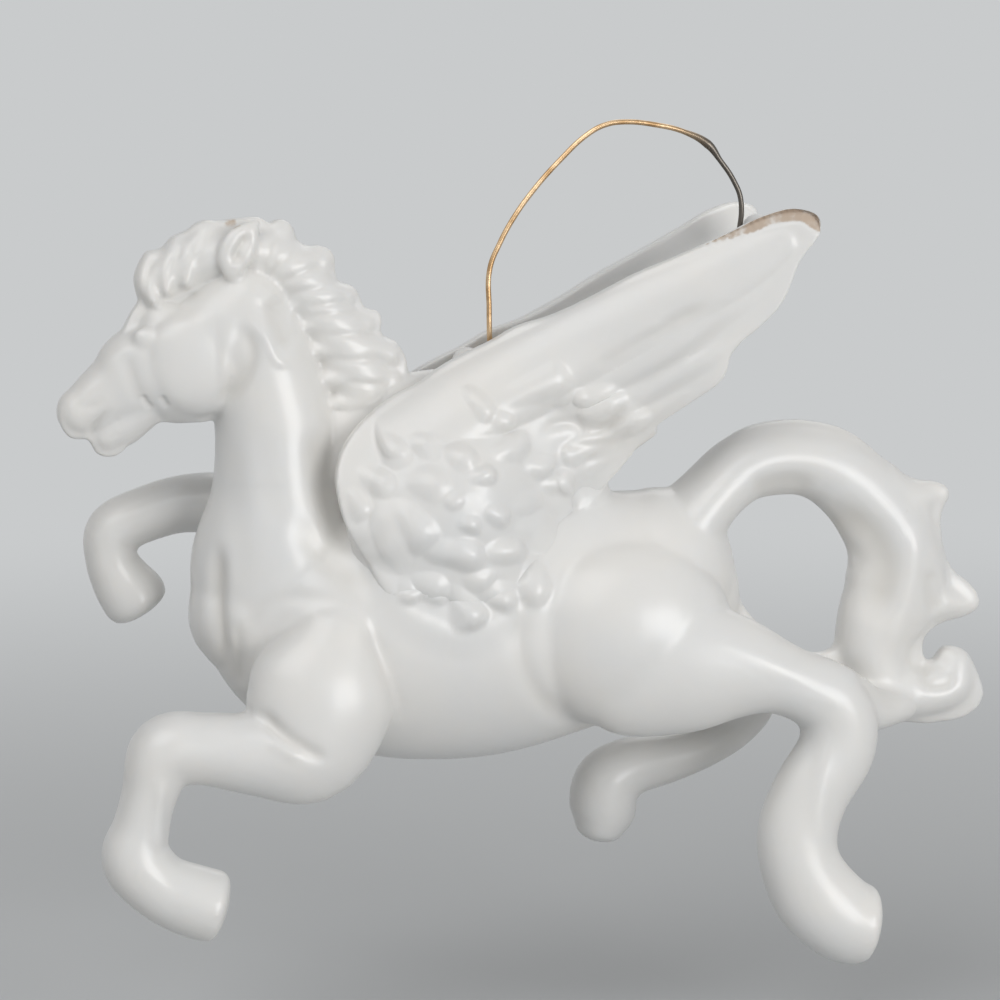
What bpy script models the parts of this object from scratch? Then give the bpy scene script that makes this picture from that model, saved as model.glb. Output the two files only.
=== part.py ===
"""Pegasus figurine: a slip-cast porcelain horse with wings, hung from a sprung wire bail.

The body is modelled as soft oval sections swept through stations, as a modeller would draw the
plaster model. The casting that runs through the middle (head, barrel and tail) is one skin that is
parted along flat luting faces. The legs and wings are castings of their own, cut to sit on it.
The origin is the point of the wire that hangs on a hook. X runs from head to tail, Z is up and
the viewer stands on the -Y side. Stations are in millimetres and the finished model in metres.
"""
import math
from dataclasses import dataclass

import bmesh
import bpy
import numpy as np
from mathutils import Matrix, Vector
from mathutils.bvhtree import BVHTree

MM = 0.001

# Fit of the castings
LUTING_GAP = 0.35
CLAY_GRAIN = 0.7
WING_GRAIN = 0.55
SMOOTHING_ROUNDS = 6
SECTION_SIDES = 20
STEPS_BETWEEN_STATIONS = 4
HOOF_BLUNTNESS = 0.3

# Half depths of the forms, each measured across the figure
BARREL_HALF_DEPTH = 13.0
NECK_HALF_DEPTH = 8.4
HEAD_HALF_DEPTH = 6.2
CHIN_HALF_DEPTH = 3.0
MANE_HALF_DEPTH = 3.3
WITHERS_HALF_DEPTH = 5.4
TAIL_HALF_DEPTH = 5.0
FORELEG_HALF_DEPTH = 4.6
HIND_LEG_HALF_DEPTH = 4.8
EAR_HALF_DEPTH = 1.1

# Thicknesses of the flat webs that give the tail, mane and face their drawn outlines
TAIL_WEB_THICKNESS = 2.6
MANE_WEB_THICKNESS = 2.8
FACE_WEB_THICKNESS = 3.6

# How far each pair of limbs stands off the middle of the figure
FORELEG_STAND_OFF = 11.6
FAR_FORELEG_STAND_OFF = 9.8
HIND_LEG_STAND_OFF = 10.8
FAR_HIND_LEG_STAND_OFF = 10.6
HAUNCH_STAND_OFF = 7.2
CHEEK_STAND_OFF = 2.0
EAR_STAND_OFF = 4.2

# Wings
WING_THICKNESS = 2.4
WING_TIP_THINNING = 0.7
THINNING_START = -6.0
THINNING_END = 19.0
WING_SMOOTHING_ROUNDS = 2
FLAT_WING_HALF_DEPTH = 4.8
FEATHER_HALF_DEPTH = 2.0
FEATHER_STAND_OFF = 0.5
COVERT_SINK = 1.5
KNOB_HEIGHT_SHARE = 0.7
KNOB_SINK_SHARE = 0.10
WING_FOOT_STAND_OFF = 10.8
WING_SOLE_STAND_OFF = 10.6
WING_HEEL_STAND_OFF = 9.4
WING_SPUR_STAND_OFF = 6.6
WING_TOE_STAND_OFF = 10.7
WING_COVERT_STAND_OFF = 10.6
WING_FRONT_STAND_OFF = 9.6
WING_REAR_STAND_OFF = 3.4
WING_TRAILING_STAND_OFF = 8.4
WING_ROOT_STAND_OFF = 4.6
WING_ARM_STAND_OFF = 3.6
WING_MIDDLE_STAND_OFF = 5.6
WING_TIP_STAND_OFF = 10.8
FAR_WING_FORWARD = 3.0
FAR_WING_TILT = math.radians(1.8)
WING_TIP = Vector((20.5, 0.0, -11.0))

# Flat luting faces of the casting that runs through the middle: a point of each and its normal
PARTING_BLOCK_SIZE = 66.0
NECK_SEAM = Vector((-58.5, 0.0, -42.4))
NECK_SEAM_NORMAL = Vector((0.0, 0.0, 1.0))
TAIL_SEAM = Vector((14.0, 0.0, -43.2))
TAIL_SEAM_NORMAL = Vector((0.80, 0.0, 0.60))
SWITCH_SEAM = Vector((22.5, 0.0, -60.0))
SWITCH_SEAM_NORMAL = Vector((1.0, 0.0, 0.0))

# Faces that each modelled form keeps
CORE_FACES = 4700
LIMB_FACES = 800
WING_FACES = 2500

# Wire bail and the small seats that hold its two ends
WIRE_DIAMETER = 0.64
WIRE_END_LENGTH = 2.6
WIRE_END_CLEARANCE = 0.35
WIRE_SEAT_WALL = 0.8
FRONT_SEAT = Vector((-16.0, 0.0, -27.6))
REAR_SEAT = Vector((14.3, 0.0, -14.2))


@dataclass(frozen=True)
class Station:
    """One oval section of a swept form.

    Args:
        x: place along the figure, in millimetres.
        z: height, in millimetres.
        half_height: half of the section's height across its path, in millimetres.
        side: place across the figure as a share of the form's stand-off.
        depth: half depth of the section as a share of the form's half depth.
    """

    x: float
    z: float
    half_height: float
    side: float = 1.0
    depth: float = 1.0


@dataclass(frozen=True)
class Swelling:
    """One egg-shaped swelling of a form.

    Args:
        centre: its middle, in millimetres.
        radii: its half sizes along x, y and z, in millimetres.
        lean: angle by which it is turned about y, in degrees.
    """

    centre: tuple
    radii: tuple
    lean: float = 0.0


BARREL = (
    Station(-44.7, -58.5, 8.4, depth=0.70),
    Station(-37.9, -59.0, 13.6, depth=0.93),
    Station(-28.2, -61.1, 15.3),
    Station(-18.5, -62.2, 14.6, depth=0.98),
    Station(-9.3, -60.5, 14.0, depth=0.95),
    Station(-1.0, -58.1, 13.4, depth=0.90),
    Station(4.6, -56.4, 12.4, depth=0.80),
    Station(7.2, -55.6, 10.6, depth=0.55),
)
NECK = (
    Station(-36.8, -67.0, 9.3, depth=0.95),
    Station(-38.3, -62.7, 11.0, depth=1.15),
    Station(-39.8, -57.1, 12.0, depth=1.20),
    Station(-41.0, -50.4, 11.3, depth=1.14),
    Station(-41.5, -43.3, 8.2, depth=1.0),
    Station(-41.8, -36.8, 7.4, depth=0.90),
    Station(-43.0, -30.5, 6.8, depth=0.83),
    Station(-44.2, -25.1, 6.0, depth=0.78),
    Station(-45.3, -21.2, 4.6, depth=0.66),
)
HEAD = (
    Station(-45.3, -21.7, 5.5, depth=0.90),
    Station(-51.3, -27.7, 7.3, depth=1.03),
    Station(-57.5, -29.6, 6.0, depth=0.84),
    Station(-60.6, -31.7, 4.6, depth=0.68),
    Station(-62.9, -32.9, 3.8, depth=0.63),
    Station(-65.1, -33.9, 3.0, depth=0.56),
)
CHIN = (
    Station(-56.8, -33.0, 2.4, depth=1.0),
    Station(-60.9, -36.0, 2.6, depth=0.97),
    Station(-62.3, -37.2, 1.9, depth=0.87),
)
CREST = (
    Station(-55.1, -18.1, 2.5, depth=0.8),
    Station(-51.9, -16.0, 2.8, depth=0.95),
    Station(-48.1, -15.1, 2.9, depth=1.0),
    Station(-44.1, -15.1, 3.0, depth=1.0),
    Station(-40.5, -16.6, 3.1, depth=1.0),
    Station(-37.8, -19.5, 3.2, depth=1.0),
    Station(-35.4, -23.0, 3.2, depth=1.0),
    Station(-33.5, -26.2, 3.4, depth=1.0),
    Station(-32.0, -29.8, 3.6, depth=1.0),
    Station(-31.3, -34.3, 3.4, depth=0.9),
)
WITHERS = (
    Station(-38.0, -43.0, 9.0, depth=0.90),
    Station(-29.0, -40.5, 9.5, depth=1.0),
    Station(-20.5, -38.5, 9.0, depth=1.0),
    Station(-12.0, -41.5, 7.5, depth=0.95),
    Station(-4.5, -49.0, 5.0, depth=0.90),
)
MANE_LOCKS = (
    (Station(-55.3, -20.8, 1.1), Station(-56.6, -18.9, 1.7), Station(-56.7, -16.9, 1.6)),
    (Station(-53.6, -20.2, 1.1), Station(-54.1, -17.1, 1.7), Station(-52.6, -14.8, 1.6)),
    (Station(-51.0, -19.7, 1.2), Station(-50.7, -16.1, 1.8), Station(-49.0, -13.4, 1.7)),
    (Station(-46.5, -19.7, 1.7), Station(-46.0, -15.9, 2.2), Station(-44.8, -13.1, 1.9)),
    (Station(-43.4, -20.0, 1.7), Station(-42.7, -16.2, 2.2), Station(-41.2, -13.5, 1.8)),
    (Station(-41.9, -21.0, 1.7), Station(-38.8, -18.0, 2.4), Station(-36.6, -16.7, 1.9)),
    (Station(-38.9, -22.9, 1.4), Station(-35.8, -21.5, 1.7), Station(-32.9, -20.7, 1.4)),
    (Station(-37.7, -25.6, 1.4), Station(-33.5, -24.4, 1.7), Station(-30.5, -24.0, 1.6)),
    (Station(-35.9, -28.5, 1.7), Station(-31.7, -28.0, 2.2), Station(-28.3, -28.5, 2.2)),
    (Station(-34.4, -31.8, 1.9), Station(-30.5, -32.1, 2.2), Station(-27.9, -32.9, 1.7)),
)
TAIL = (
    Station(7.4, -51.4, 5.4, depth=1.56),
    Station(11.4, -45.2, 3.6, depth=1.26),
    Station(15.3, -41.9, 4.2, depth=1.06),
    Station(21.0, -40.9, 4.4),
    Station(26.2, -42.4, 4.6),
    Station(30.7, -46.6, 5.3),
    Station(34.0, -51.8, 5.6, depth=0.96),
    Station(34.2, -57.2, 6.4, depth=0.92),
    Station(31.6, -63.3, 4.8, depth=0.88),
    Station(32.6, -69.3, 4.2, depth=0.84),
    Station(37.4, -70.0, 3.4, depth=0.76),
    Station(41.2, -69.2, 3.0, depth=0.68),
    Station(42.0, -66.8, 2.2, depth=0.52),
)
EAR = (
    Station(-48.9, -17.4, 1.0, depth=0.91),
    Station(-47.8, -15.9, 1.9, side=1.05),
    Station(-46.5, -14.4, 2.3),
    Station(-45.3, -13.0, 1.8, side=0.90, depth=0.82),
    Station(-44.6, -11.9, 0.8, side=0.79, depth=0.64),
)
# Outlines of the webs, as x and height
TAIL_OUTLINE = (
    (0.0, -47.0), (2.4, -44.6), (8.6, -44.3), (9.8, -42.2), (12.3, -39.2), (14.7, -37.4),
    (19.7, -36.2), (23.4, -36.3), (28.4, -37.8), (32.2, -40.7), (36.0, -43.6), (39.8, -44.2),
    (41.0, -45.2), (40.0, -47.6), (40.1, -51.3), (41.2, -54.5), (44.5, -57.7), (44.9, -59.5),
    (43.9, -60.5), (39.5, -61.9), (37.8, -63.8), (38.0, -65.6), (39.1, -66.3), (40.1, -64.8),
    (41.4, -64.5), (43.3, -65.4), (45.0, -68.3), (45.6, -70.8), (44.1, -72.9), (40.3, -74.0),
    (35.8, -73.9), (31.0, -72.6), (25.5, -68.5), (18.0, -66.5), (8.0, -64.0), (0.0, -60.0),
)
TAIL_OPENING = (
    (12.6, -49.6), (12.9, -47.8), (15.4, -46.3), (20.4, -45.4), (24.1, -46.1), (26.7, -48.6),
    (28.2, -52.4), (28.4, -55.5), (27.4, -59.2), (27.2, -63.5), (25.6, -64.9), (21.2, -64.0),
    (17.4, -61.4), (14.9, -58.3), (13.6, -54.6),
)
MANE_OUTLINE = (
    (-58.3, -17.6), (-57.5, -15.9), (-56.0, -14.9), (-54.6, -14.6), (-54.0, -13.4), (-52.5, -12.7),
    (-50.7, -11.5), (-48.6, -11.5), (-45.2, -11.1), (-43.6, -11.1), (-42.5, -11.8), (-41.5, -11.3),
    (-39.9, -12.0), (-39.4, -13.6), (-38.6, -14.5), (-36.6, -14.5), (-35.0, -15.3), (-34.7, -17.5),
    (-34.2, -19.1), (-32.4, -19.5), (-31.7, -20.8), (-31.1, -22.0), (-29.4, -22.5), (-29.1, -25.4),
    (-26.9, -26.8), (-26.1, -28.8), (-26.5, -31.0), (-28.0, -34.0), (-33.0, -36.0), (-38.0, -30.0),
    (-43.0, -24.0), (-50.0, -19.5), (-57.6, -21.2),
)
FACE_OUTLINE = (
    (-58.2, -20.9), (-59.2, -23.4), (-61.1, -26.7), (-63.3, -29.2), (-65.6, -30.8), (-67.0, -32.1),
    (-67.6, -33.8), (-67.0, -35.8), (-65.6, -37.2), (-64.4, -37.4), (-63.8, -38.4), (-61.9, -39.2),
    (-60.1, -38.7), (-57.9, -36.4), (-56.7, -35.4), (-54.2, -35.2), (-50.9, -35.2), (-47.5, -33.0),
    (-45.0, -22.0), (-52.0, -17.5),
)
# Egg-shaped swellings: centre, half sizes along x, y and z, and lean about y in degrees
RUMP = Swelling((4.6, 0.0, -54.6), (9.4, 10.2, 10.4))
HAUNCH = Swelling((-0.4, HAUNCH_STAND_OFF, -61.0), (13.0, 8.2, 11.6))
CHEEK = Swelling((-52.0, CHEEK_STAND_OFF, -27.6), (6.3, 4.8, 6.2))
FOREHEAD = Swelling((-55.4, 0.0, -23.4), (3.4, 4.4, 3.2))
COVERTS = (
    Swelling((-22.0, COVERT_SINK, -44.5), (12.6, 4.4, 13.2), 20.0),
    Swelling((-20.0, COVERT_SINK, -50.0), (9.5, 4.0, 8.6)),
)
NEAR_FORELEG = (
    Station(-35.5, -60.6, 5.9, side=0.82, depth=1.09),
    Station(-37.5, -66.3, 8.9, side=0.95, depth=1.30),
    Station(-39.5, -72.6, 7.3, depth=1.26),
    Station(-45.4, -73.5, 5.1, side=1.02, depth=1.13),
    Station(-51.3, -72.8, 4.3, side=1.03, depth=1.02),
    Station(-56.1, -73.0, 4.3, side=1.05, depth=0.98),
    Station(-58.0, -78.0, 3.3, side=1.06, depth=0.85),
    Station(-59.0, -81.9, 3.4, side=1.07, depth=0.83),
    Station(-59.7, -85.5, 4.1, side=1.08, depth=0.91),
    Station(-56.9, -88.9, 4.0, side=1.09, depth=0.93),
    Station(-53.2, -90.7, 4.3, side=1.09, depth=1.02),
    Station(-50.3, -91.6, 4.3, side=1.09, depth=1.07),
)
FAR_FORELEG = (
    Station(-38.4, -53.4, 6.1, side=0.82, depth=1.09),
    Station(-45.6, -47.3, 4.2, side=0.97, depth=1.04),
    Station(-51.6, -46.4, 3.6, side=1.02, depth=0.96),
    Station(-56.8, -47.6, 3.4, side=1.04, depth=0.91),
    Station(-61.0, -49.7, 3.4, side=1.06, depth=0.89),
    Station(-61.3, -53.1, 3.2, side=1.06, depth=0.83),
    Station(-60.1, -55.8, 3.7, side=1.07, depth=0.87),
    Station(-58.6, -57.9, 4.1, side=1.07, depth=0.96),
    Station(-57.9, -59.0, 3.8, side=1.07, depth=0.96),
)
NEAR_HIND_LEG = (
    Station(-6.4, -62.9, 6.8, side=0.78, depth=1.04),
    Station(-0.7, -63.6, 9.4, side=0.83, depth=1.17),
    Station(6.6, -64.5, 8.4, side=0.91, depth=1.21),
    Station(13.0, -65.0, 6.2, side=0.96, depth=1.08),
    Station(18.4, -66.5, 4.3, side=0.98, depth=0.98),
    Station(24.0, -69.5, 4.7, side=0.98, depth=0.96),
    Station(24.8, -74.6, 4.7, depth=0.88),
    Station(21.6, -80.0, 4.7, side=1.02, depth=0.88),
    Station(19.9, -84.6, 4.9, side=1.04, depth=0.90),
    Station(20.2, -88.8, 4.9, side=1.05, depth=0.96),
    Station(22.3, -92.9, 5.3, side=1.06, depth=0.98),
    Station(25.7, -95.9, 5.2, side=1.06, depth=1.04),
    Station(28.4, -96.6, 4.8, side=1.06, depth=1.08),
)
FAR_HIND_LEG = (
    Station(1.8, -64.6, 6.9, side=0.85, depth=1.04),
    Station(9.0, -67.3, 6.9, side=0.94, depth=1.12),
    Station(14.9, -70.5, 4.7, side=0.96, depth=1.0),
    Station(18.7, -72.9, 2.8, side=0.98, depth=0.90),
    Station(16.3, -76.3, 2.5, side=1.0, depth=0.79),
    Station(12.1, -78.6, 2.7, side=1.02, depth=0.77),
    Station(7.3, -80.0, 3.2, side=1.04, depth=0.83),
    Station(3.2, -80.9, 3.7, side=1.06, depth=0.85),
    Station(0.3, -83.7, 4.2, side=1.06, depth=0.94),
    Station(0.3, -88.1, 4.3, side=1.06, depth=0.96),
)

WING_OUTLINE = (
    (-35.5, -40.3), (-35.4, -43.9), (-34.0, -48.1), (-32.3, -50.8), (-29.9, -54.1), (-28.1, -56.5),
    (-24.6, -58.6), (-20.4, -59.7), (-16.2, -57.6), (-12.6, -56.2), (-11.4, -53.3), (-8.4, -49.7),
    (-4.2, -45.0), (-2.0, -42.7), (-0.1, -40.4), (1.8, -37.6), (3.5, -35.8), (7.4, -32.9),
    (10.7, -30.1), (11.7, -27.0), (15.2, -23.7), (17.4, -21.2), (19.4, -16.4), (21.9, -11.4),
    (19.7, -10.1), (16.0, -10.7), (11.4, -12.9), (5.3, -15.8), (0.4, -18.0), (-4.0, -20.4),
    (-9.1, -22.8), (-13.5, -24.2), (-16.4, -25.8), (-19.7, -27.3), (-22.7, -28.9), (-25.3, -30.7),
    (-28.0, -32.0), (-31.4, -34.3), (-34.0, -37.0),
)
# The broad arm of the wing and its rows of feathers, from the top down
WING_FEATHERS = (
    (Station(-29.0, -37.0, 3.6, side=0.4), Station(-20.0, -33.2, 4.8, side=0.8, depth=1.25),
     Station(-8.0, -27.8, 5.0, depth=1.3), Station(3.0, -22.2, 4.6, depth=1.15),
     Station(12.0, -17.3, 3.6, depth=0.9), Station(18.0, -13.7, 2.2, side=0.6, depth=0.65)),
    (Station(-6.0, -31.5, 2.6), Station(3.0, -26.9, 2.8, side=1.2, depth=0.95),
     Station(10.0, -22.6, 2.2, side=0.8, depth=0.8), Station(15.8, -18.6, 1.5, side=0.4, depth=0.6)),
    (Station(-5.0, -35.4, 2.4, side=0.8, depth=0.9), Station(3.0, -31.0, 2.4, side=0.8, depth=0.85),
     Station(9.0, -27.6, 1.8, side=0.4, depth=0.65), Station(12.0, -25.0, 1.2, side=0.0, depth=0.55)),
    (Station(-7.0, -39.4, 2.2, side=0.6, depth=0.85), Station(0.5, -35.4, 2.0, side=0.6, depth=0.75),
     Station(6.6, -31.8, 1.4, side=0.2, depth=0.6)),
    (Station(-8.0, -42.6, 2.0, side=0.4, depth=0.75), Station(-2.0, -39.2, 1.7, side=0.4, depth=0.65),
     Station(2.4, -36.6, 1.1, side=0.0, depth=0.55)),
)
# Each knob of the coverts: its place on the wing and its radius
COVERT_KNOBS = (
    (-9.8, -29.2, 1.8), (-7.5, -32.0, 1.6), (-3.9, -33.3, 2.3), (-18.0, -32.4, 2.0),
    (-22.6, -33.0, 1.8), (-13.2, -34.6, 1.6), (-7.6, -36.2, 1.6), (-30.0, -37.1, 1.7),
    (-26.2, -36.4, 1.7), (-21.7, -37.3, 1.7), (-16.4, -37.6, 1.6), (-31.4, -40.7, 1.7),
    (-26.6, -40.3, 1.7), (-12.2, -39.0, 1.7), (-19.6, -41.2, 1.5), (-8.8, -41.4, 1.7),
    (-23.4, -43.3, 1.6), (-18.0, -45.0, 1.6), (-30.8, -45.8, 2.3), (-27.2, -49.2, 2.5),
    (-22.2, -48.2, 1.9), (-17.0, -48.9, 1.7), (-12.2, -48.9, 2.2), (-25.3, -53.6, 2.1),
    (-19.6, -52.6, 1.8), (-21.4, -56.4, 2.3), (-14.6, -53.4, 2.0), (-13.9, -43.3, 1.7),
)
# Places on the wing and how far its middle surface stands off the middle plane there
WING_STAND_OFFS = (
    (-20.4, -58.5, WING_FOOT_STAND_OFF),
    (-16.2, -57.6, WING_SOLE_STAND_OFF),
    (-11.5, -54.5, WING_HEEL_STAND_OFF),
    (-8.4, -49.7, WING_SPUR_STAND_OFF),
    (-30.5, -52.0, WING_TOE_STAND_OFF),
    (-18.0, -42.0, WING_COVERT_STAND_OFF),
    (-34.5, -42.0, WING_FRONT_STAND_OFF),
    (-3.5, -46.0, WING_REAR_STAND_OFF),
    (8.5, -31.0, WING_TRAILING_STAND_OFF),
    (-28.0, -31.0, WING_ROOT_STAND_OFF),
    (-16.0, -25.0, WING_ARM_STAND_OFF),
    (0.0, -19.5, WING_MIDDLE_STAND_OFF),
    (21.0, -11.5, WING_TIP_STAND_OFF),
)
WIRE_ROUTE = (
    (-16.1, -22.4), (-16.0, -17.4), (-14.8, -14.4), (-13.2, -11.5), (-10.9, -8.3), (-7.5, -4.5),
    (-4.1, -1.4), (-2.1, -0.35), (0.0, 0.0), (4.4, -0.4), (7.6, -1.2), (10.5, -2.7),
    (12.0, -4.6), (13.6, -6.9), (14.6, -9.4),
)


def clear_scene():
    """Remove every object that the scene starts with."""
    for item in list(bpy.data.objects):
        bpy.data.objects.remove(item, do_unlink=True)


def porcelain():
    """Return the glazed white porcelain that every casting is made of."""
    material = bpy.data.materials.new("glazed_porcelain")
    material.use_nodes = True
    shader = material.node_tree.nodes["Principled BSDF"]
    shader.inputs["Base Color"].default_value = (0.78, 0.77, 0.75, 1.0)
    shader.inputs["Roughness"].default_value = 0.22
    shader.inputs["Metallic"].default_value = 0.0
    return material


def brass():
    """Return the bare brass of the wire bail."""
    material = bpy.data.materials.new("brass_wire")
    material.use_nodes = True
    shader = material.node_tree.nodes["Principled BSDF"]
    shader.inputs["Base Color"].default_value = (0.70, 0.46, 0.22, 1.0)
    shader.inputs["Roughness"].default_value = 0.32
    shader.inputs["Metallic"].default_value = 1.0
    return material


def between(values, step):
    """Return the smooth value between the middle two of four neighbouring values."""
    before, start, end, after = values
    return 0.5 * (
        2.0 * start
        + (end - before) * step
        + (2.0 * before - 5.0 * start + 4.0 * end - after) * step ** 2
        + (3.0 * start - before - 3.0 * end + after) * step ** 3
    )


def smooth_sections(stations, stand_off, half_depth):
    """Return centres and half sizes of evenly blended sections along the stations."""
    rows = [
        np.array((s.x, s.side * stand_off, s.z, s.half_height, s.depth * half_depth)) for s in stations
    ]
    rows = [2.0 * rows[0] - rows[1]] + rows + [2.0 * rows[-1] - rows[-2]]
    sections = []
    for index in range(1, len(rows) - 2):
        for step in range(STEPS_BETWEEN_STATIONS):
            sections.append(between(rows[index - 1:index + 3], step / STEPS_BETWEEN_STATIONS))
    sections.append(rows[-2])
    return sections


def section_frame(centre, direction, half_height, half_depth):
    """Return the matrix that lays a unit circle into one section of a form."""
    across = Vector((0.0, 1.0, 0.0))
    along = direction.normalized()
    upright = across.cross(along).normalized()
    sideways = along.cross(upright).normalized()
    axes = Matrix((upright, sideways, along)).transposed().to_4x4()
    return Matrix.Translation(centre) @ axes @ Matrix.Diagonal((half_height, half_depth, 1.0, 1.0))


def sweep(mesh, stations, stand_off, half_depth, bluntness=1.0):
    """Sweep an oval section through the stations and close both ends.

    The first end is round. The bluntness says how far the last one bulges: 1 is round and 0 is flat,
    and the sole of a hoof lies in between.
    """
    sections = smooth_sections(stations, stand_off, half_depth)
    centres = [Vector(section[:3]) for section in sections]
    frames = []
    for index, section in enumerate(sections):
        before = centres[max(index - 1, 0)]
        after = centres[min(index + 1, len(centres) - 1)]
        frames.append((centres[index], after - before, section[3], section[4]))
    frames = rounded_end(frames[0], -1.0)[::-1] + frames + rounded_end(frames[-1], bluntness)
    matrices = [section_frame(*frame) for frame in frames]
    ring = bmesh.ops.create_circle(
        mesh, cap_ends=True, segments=SECTION_SIDES, radius=1.0, matrix=matrices[0]
    )["verts"]
    face = ring[0].link_faces[0]
    for before, after in zip(matrices, matrices[1:]):
        grown = bmesh.ops.extrude_discrete_faces(mesh, faces=[face])
        face = grown["faces"][0]
        bmesh.ops.transform(mesh, matrix=after @ before.inverted(), verts=face.verts)


def rounded_end(frame, sense):
    """Return the ever smaller sections that round off one end of a form."""
    centre, direction, half_height, half_depth = frame
    reach = min(half_height, half_depth) * sense
    rounds = []
    for share in (0.35, 0.7, 0.92):
        narrow = math.sqrt(1.0 - share ** 2)
        place = centre + direction.normalized() * reach * share
        rounds.append((place, direction, half_height * narrow, half_depth * narrow))
    return rounds


def swell(mesh, swelling, side=1.0):
    """Add one egg-shaped swelling, on the near side where the side is -1."""
    x, y, z = swelling.centre
    matrix = Matrix.Translation((x, y * side, z)) @ Matrix.Rotation(math.radians(swelling.lean), 4, "Y")
    matrix = matrix @ Matrix.Diagonal((*swelling.radii, 1.0))
    bmesh.ops.create_uvsphere(mesh, u_segments=16, v_segments=10, radius=1.0, matrix=matrix)


def close_forms(mesh):
    """Cap every open ring and turn all faces outward."""
    open_edges = [edge for edge in mesh.edges if edge.is_boundary]
    bmesh.ops.holes_fill(mesh, edges=open_edges, sides=0)
    bmesh.ops.recalc_face_normals(mesh, faces=mesh.faces[:])


def new_object(name, mesh):
    """Turn a bmesh in millimetres into an object of that name, in metres."""
    bmesh.ops.scale(mesh, vec=(MM, MM, MM), verts=mesh.verts[:])
    data = bpy.data.meshes.new(name)
    mesh.to_mesh(data)
    mesh.free()
    item = bpy.data.objects.new(name, data)
    bpy.context.scene.collection.objects.link(item)
    return item


def settle(item):
    """Replace an object's mesh by the result of its modifiers."""
    bpy.context.view_layer.update()
    graph = bpy.context.evaluated_depsgraph_get()
    data = bpy.data.meshes.new_from_object(item.evaluated_get(graph))
    item.modifiers.clear()
    old = item.data
    item.data = data
    bpy.data.meshes.remove(old)
    return item


def fuse_clay(item, grain, rounds):
    """Melt an object's overlapping forms into one skin with soft creases."""
    remesh = item.modifiers.new("one_skin", "REMESH")
    remesh.mode = "VOXEL"
    remesh.voxel_size = grain * MM
    smooth = item.modifiers.new("soft_creases", "SMOOTH")
    smooth.factor = 0.5
    smooth.iterations = int(round(rounds))
    return settle(item)


def thin_out(item, faces):
    """Reduce a skin to about the asked number of faces."""
    triangles = 2 * len(item.data.polygons)
    thin = item.modifiers.new("fewer_faces", "DECIMATE")
    thin.ratio = min(1.0, faces / triangles)
    return settle(item)


def copy_of(item, name):
    """Return an independent copy of an object."""
    twin = bpy.data.objects.new(name, item.data.copy())
    bpy.context.scene.collection.objects.link(twin)
    return twin


def swollen(item, clearance, name):
    """Return a copy of an object whose skin stands off by the clearance, for cutting."""
    twin = copy_of(item, name)
    swell = twin.modifiers.new("clearance", "DISPLACE")
    swell.strength = clearance * MM
    swell.mid_level = 0.0
    return settle(twin)


def cut(item, cutter, operation="DIFFERENCE"):
    """Cut an object with another one and keep its largest remaining body."""
    boolean = item.modifiers.new("cut", "BOOLEAN")
    boolean.operation = operation
    boolean.solver = "EXACT"
    boolean.use_self = True
    boolean.object = cutter
    settle(item)
    return keep_largest(item)


def discard(*items):
    """Remove cutters and other helpers from the scene."""
    for item in items:
        bpy.data.objects.remove(item, do_unlink=True)


def keep_largest(item):
    """Drop every loose crumb that a cut has left, and weld the seams of the cut."""
    mesh = bmesh.new()
    mesh.from_mesh(item.data)
    bmesh.ops.remove_doubles(mesh, verts=mesh.verts[:], dist=0.01 * MM)
    bmesh.ops.dissolve_degenerate(mesh, dist=0.01 * MM, edges=mesh.edges[:])
    left = set(mesh.verts)
    groups = []
    while left:
        group = set()
        front = [left.pop()]
        while front:
            vert = front.pop()
            group.add(vert)
            for edge in vert.link_edges:
                other = edge.other_vert(vert)
                if other in left:
                    left.remove(other)
                    front.append(other)
        groups.append(group)
    groups.sort(key=len, reverse=True)
    for group in groups[1:]:
        bmesh.ops.delete(mesh, geom=list(group), context="VERTS")
    bmesh.ops.triangulate(mesh, faces=mesh.faces[:])
    mesh.to_mesh(item.data)
    mesh.free()
    return item


def parting_block(point, normal, growth):
    """Return a block whose one face is centred on the point and lies across the normal.

    The growth is added to the block's size, so that its side faces move by half of it.
    """
    mesh = bmesh.new()
    size = PARTING_BLOCK_SIZE + growth
    turn = Vector((0.0, 0.0, 1.0)).rotation_difference(normal.normalized()).to_matrix().to_4x4()
    matrix = Matrix.Translation(point) @ turn @ Matrix.Translation((0.0, 0.0, size / 2.0))
    bmesh.ops.create_cube(mesh, size=size, matrix=matrix)
    return new_object("parting_block", mesh)


def remove_beyond(item, point, normal):
    """Cut away what lies beyond a luting plane, half a gap short of it."""
    block = parting_block(point - normal.normalized() * LUTING_GAP / 2.0, normal, LUTING_GAP)
    cut(item, block)
    discard(block)


def keep_beyond(item, planes):
    """Keep what lies beyond any of the luting planes, half a gap past them."""
    blocks = [parting_block(p + n.normalized() * LUTING_GAP / 2.0, n, -LUTING_GAP) for p, n in planes]
    for other in blocks[1:]:
        cut(blocks[0], other, "UNION")
    cut(item, blocks[0], "INTERSECT")
    discard(*blocks)


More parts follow.
